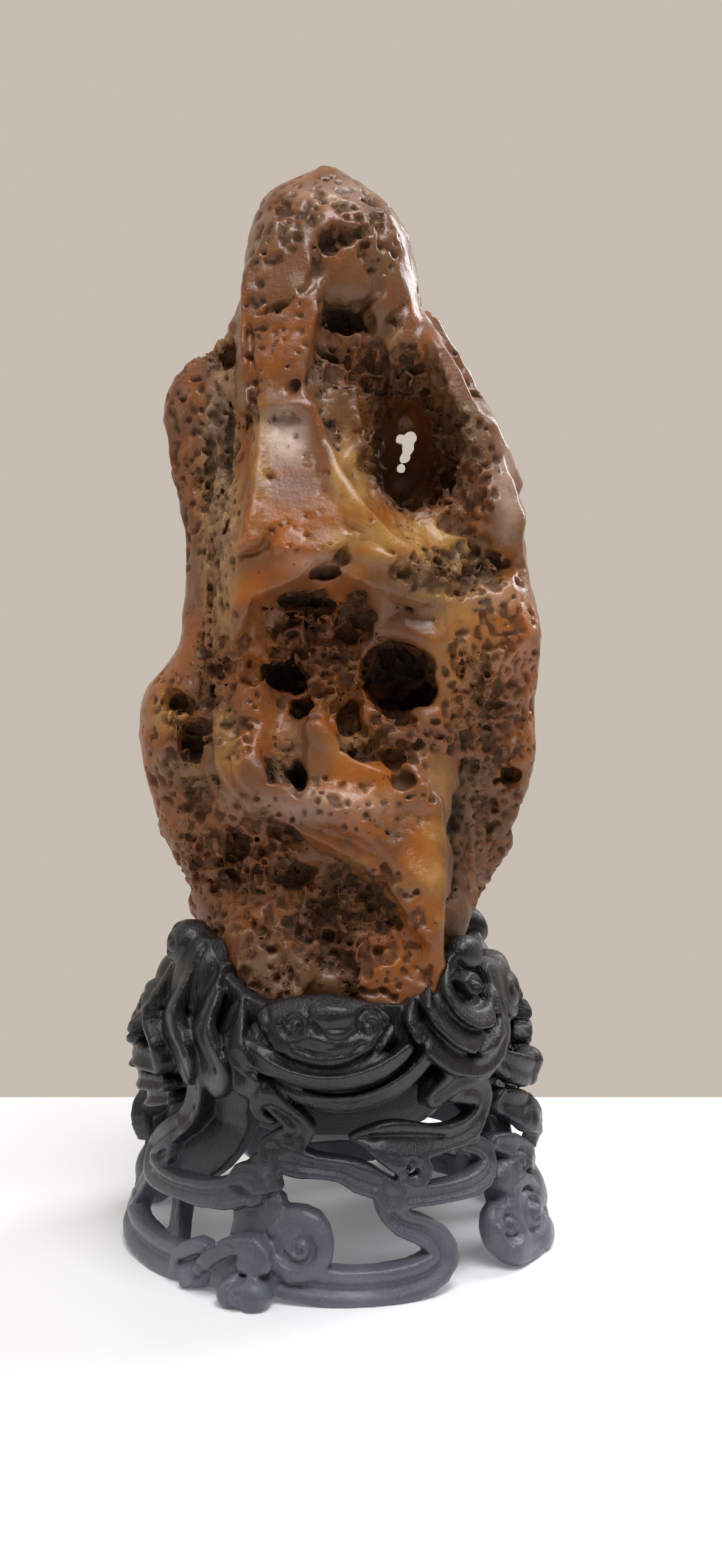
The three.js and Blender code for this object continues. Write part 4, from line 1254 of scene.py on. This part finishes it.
# The nearest place on a line drawn on the shell, for the points that keep() marks: which points they are,
# how far away and to which side the line is, how far outside the shell they lie, and the line's own values there.
def shellLine(stations, x, y, z, keep):
    stations = np.array(stations, float)
    middle = stations[:, 0].mean()
    around, outward = shellPlace(middle, x, y, z)
    around, outward, height = np.broadcast_arrays(around, outward, z)
    marked = keep(outward)
    around, outward, height = around[marked], outward[marked], height[marked]
    places = np.radians(stations[:, 0] - middle) * shellRadius(stations[:, 1])
    best = np.full(around.shape, 1e6)
    aside = np.zeros(around.shape)
    extras = np.zeros((stations.shape[1] - 2,) + around.shape)
    for i in range(len(stations) - 1):
        run = np.array([places[i + 1] - places[i], stations[i + 1, 1] - stations[i, 1]])
        length = math.sqrt(max(run @ run, 1e-6))
        over, up = around - places[i], height - stations[i, 1]
        t = np.clip((over * run[0] + up * run[1]) / length ** 2, 0, 1)
        away = np.hypot(over - t * run[0], up - t * run[1])
        closer = away < best
        best = np.where(closer, away, best)
        aside = np.where(closer, (up * run[0] - over * run[1]) / length, aside)
        for k in range(len(extras)):
            value = stations[i, k + 2] * (1 - t) + stations[i + 1, k + 2] * t
            extras[k] = np.where(closer, value, extras[k])
    return marked, best, np.clip(aside, -best, best), outward, extras


def shellBox(stations, reach):
    places = np.array([onShell(*s[:3]) for s in stations])
    return places.min(axis=0) - reach, places.max(axis=0) + reach


def bar(wide, thick, groove, lean, stations):
    stations = smoothCurve(stations, 5.0)
    low, high = shellBox(stations, wide * stations[:, 3].max() / 2 + thick)

    def distance(x, y, z):
        deepest, shallowest = stations[:, 2].max(), stations[:, 2].min()
        reach = 1.5 * thick + abs(lean) * wide / 2
        marked, away, aside, outward, (inset, share) = shellLine(
            stations, x, y, z, lambda out: (out > -deepest - reach) & (out < reach - shallowest))
        out = outward + inset - lean * aside
        out = out + 1.5 * groove * np.exp(-(away / (0.17 * wide * share)) ** 2) * (out > 0)
        corner = 1.1
        side = away - wide * share / 2 + corner
        face = np.abs(out) - thick / 2 + corner + 0.12 * np.maximum(away - 0.32 * wide * share, 0)
        inside = np.minimum(np.maximum(side, face), 0)
        result = np.full(marked.shape, 20.0, np.float32)
        result[marked] = inside + np.hypot(np.maximum(side, 0), np.maximum(face, 0)) - corner
        return result

    return low, high, distance


def boss(angle, height, inset, across, outward, up, lean):
    centre = onShell(angle, height, inset)
    reach = max(across, outward, up)
    c, s = math.cos(math.radians(lean)), math.sin(math.radians(lean))

    def distance(x, y, z):
        around, out = shellPlace(angle, x, y, z)
        out = out + inset
        lift = z - height
        a, b = around * c + lift * s, lift * c - around * s
        flat = np.sqrt((a / across) ** 2 + (b / up) ** 2 + 1e-6)
        near = (flat ** 2.8 + np.abs(out / outward) ** 2.8) ** (1 / 2.8)
        far = np.sqrt((a / across ** 2) ** 2 + (out / outward ** 2) ** 2 + (b / up ** 2) ** 2 + 1e-9)
        return near * (near - 1) / far

    return centre - reach, centre + reach, distance


def engrave(clay, stations, depth, width):  # a round-bottomed cut along a line on the shell
    stations = smoothCurve(stations, 3.0)
    low, high = shellBox(np.hstack([stations[:, :2], np.zeros((len(stations), 1))]), 12)
    spans, x, y, z = clay.grab(low, high)
    marked, away = shellLine(stations, x, y, z, lambda out: (out > -9) & (out < 14))[:2]
    deeper = depth * np.exp(-(away / width) ** 2)
    clay.field[spans][marked] += deeper.astype(np.float32)


def spiral(angle, height, first, last, turns, start):
    steps = int(12 * turns) + 2
    points = []
    for i in range(steps):
        t = i / (steps - 1)
        turn = math.radians(start) + 2 * math.pi * turns * t
        radius = first + (last - first) * t
        points.append((angle + math.degrees(radius * math.cos(turn) / shellRadius(height)),
                       height + radius * math.sin(turn)))
    return points


def sculptStand():
    form = standForm
    half = math.ceil(94 / form["step"]) * form["step"]
    clay = Clay((-half, -half, -4), (half, half, 126), form["step"])
    x, y, z = (axis.reshape([-1 if j == k else 1 for j in range(3)]) for k, axis in enumerate(clay.axes))
    radius = np.sqrt(x * x + y * y)
    side = radius - np.interp(z, *form["bowlSide"])
    under = np.interp(radius, form["bowlSide"][1][:7], form["bowlSide"][0][:7]) - z
    rim = np.interp(np.degrees(np.arctan2(x, -y)), *form["rim"], period=180)
    clay.field = np.maximum(np.maximum(side * 0.9, under * 0.7), (z - rim) * 0.8).astype(np.float32)
    well = np.maximum(radius - form["wellRadius"], form["wellFloor"] - z)
    clay.field = np.maximum(clay.field, -well).astype(np.float32)
    for row in form["bosses"]:
        clay.add(boss(*row), 1.0)
    for row in form["bars"].values():
        clay.add(bar(*row), 0.9)
    for angle, height, first, last, turns, start, depth in form["curls"]:
        engrave(clay, spiral(angle, height, first, last, turns, start), 1.5 * depth, 1.0)
    for depth, width, points in form["veins"]:
        engrave(clay, points, 1.4 * depth, width)
    clay.field = np.minimum(clay.field, clay.field[::-1, ::-1, :])
    return clay


def onAxes(source, axes):  # one clay's distances read at another clay's grid
    values = source.field
    for k, axis in enumerate(axes):
        place = np.clip((axis - source.axes[k][0]) / source.step, 0, values.shape[k] - 1.001)
        base = place.astype(int)
        part = (place - base).astype(np.float32).reshape([-1 if j == k else 1 for j in range(3)])
        values = np.take(values, base, axis=k) * (1 - part) + np.take(values, base + 1, axis=k) * part
    return values


stand = sculptStand()
print("stand carved", stand.field.shape)


def fitStand():
    form = standForm
    levels = stand.axes[2] > stoneForm["sections"][0][0] - 4
    upper = [stand.axes[0], stand.axes[1], stand.axes[2][levels]]
    rock = np.minimum(onAxes(stone, upper), onAxes(stoneBlock, upper))
    stand.field[:, :, levels] = np.maximum(stand.field[:, :, levels], form["socketGap"] - rock)
    grain = 0.10 * cloudNoise(stand.axes, (1.6, 1.6, 3.2), 61) + 0.14 * cloudNoise(stand.axes, (4, 4, 9), 62)
    stand.field += grain
    stand.field = np.maximum(stand.field, -stand.axes[2][None, None, :])


fitStand()
standPiece = makePiece("standSkin", stand, standForm["triangles"], 1)
standPoints = pointsOf(standPiece)
paintMask(standPiece, "rise", np.clip(exposure(stand, standPoints, 2.2, 5.0), -1, 1))
paintMask(standPiece, "low", 1 - ramp(standPoints[:, 2], *standForm["dustAndReflection"][1:]))


def makeWoodFinish():
    material = bpy.data.materials.new("black lacquered wood")
    material.use_nodes = True
    tree = material.node_tree
    shader = tree.nodes["Principled BSDF"]
    place = addNode(tree, "ShaderNodeTexCoord").outputs["Object"]
    grain = addNode(tree, "ShaderNodeGroup", node_tree=grainGroup)
    for key, value in (("Grain Size", 0.0012), ("Mottle Size", 0.02), ("Coarseness", 0.8)):
        grain.inputs[key].default_value = value
    long = addNode(tree, "ShaderNodeMapping", {"Vector": place, "Scale": (1, 1, 0.3)}).outputs["Vector"]
    tree.links.new(long, grain.inputs["Vector"])
    rise = maskOf(tree, "rise")
    mottle = grain.outputs["Mottle"]
    worn = maths(tree, "MULTIPLY", fade(tree, rise, 0.18, 0.5), fade(tree, mottle, 0.4, 0.7))
    colour = mixColour(tree, worn, standForm["black"], standForm["rubbed"])
    # pale dust and painted reflection of the white table on the low parts of the feet
    dustAndReflection = maths(tree, "MULTIPLY", maskOf(tree, "low"), fade(tree, mottle, 0.3, 0.7, 0.7, 1.0))
    colour = mixColour(tree, dustAndReflection, colour, standForm["dustAndReflection"][0])
    tree.links.new(colour, shader.inputs["Base Color"])
    rough = maths(tree, "ADD", standForm["roughness"], maths(tree, "MULTIPLY", mottle, 0.2))
    rough = maths(tree, "ADD", rough, fade(tree, rise, -0.1, -0.5, 0.0, 0.25), clamp=True)
    tree.links.new(rough, shader.inputs["Roughness"])
    bumpInputs = {"Height": grain.outputs["Height"], "Strength": 0.8, "Distance": 0.0010}
    bump = addNode(tree, "ShaderNodeBump", bumpInputs)
    tree.links.new(bump.outputs["Normal"], shader.inputs["Normal"])
    shader.inputs["Specular IOR Level"].default_value = 0.5
    shader.inputs["Coat Weight"].default_value = standForm["coat"]
    shader.inputs["Coat Roughness"].default_value = standForm["coatRoughness"]
    return material


standPiece.data.materials.append(makeWoodFinish())
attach(standPiece, "root")
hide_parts("stand")
print("stand finished")
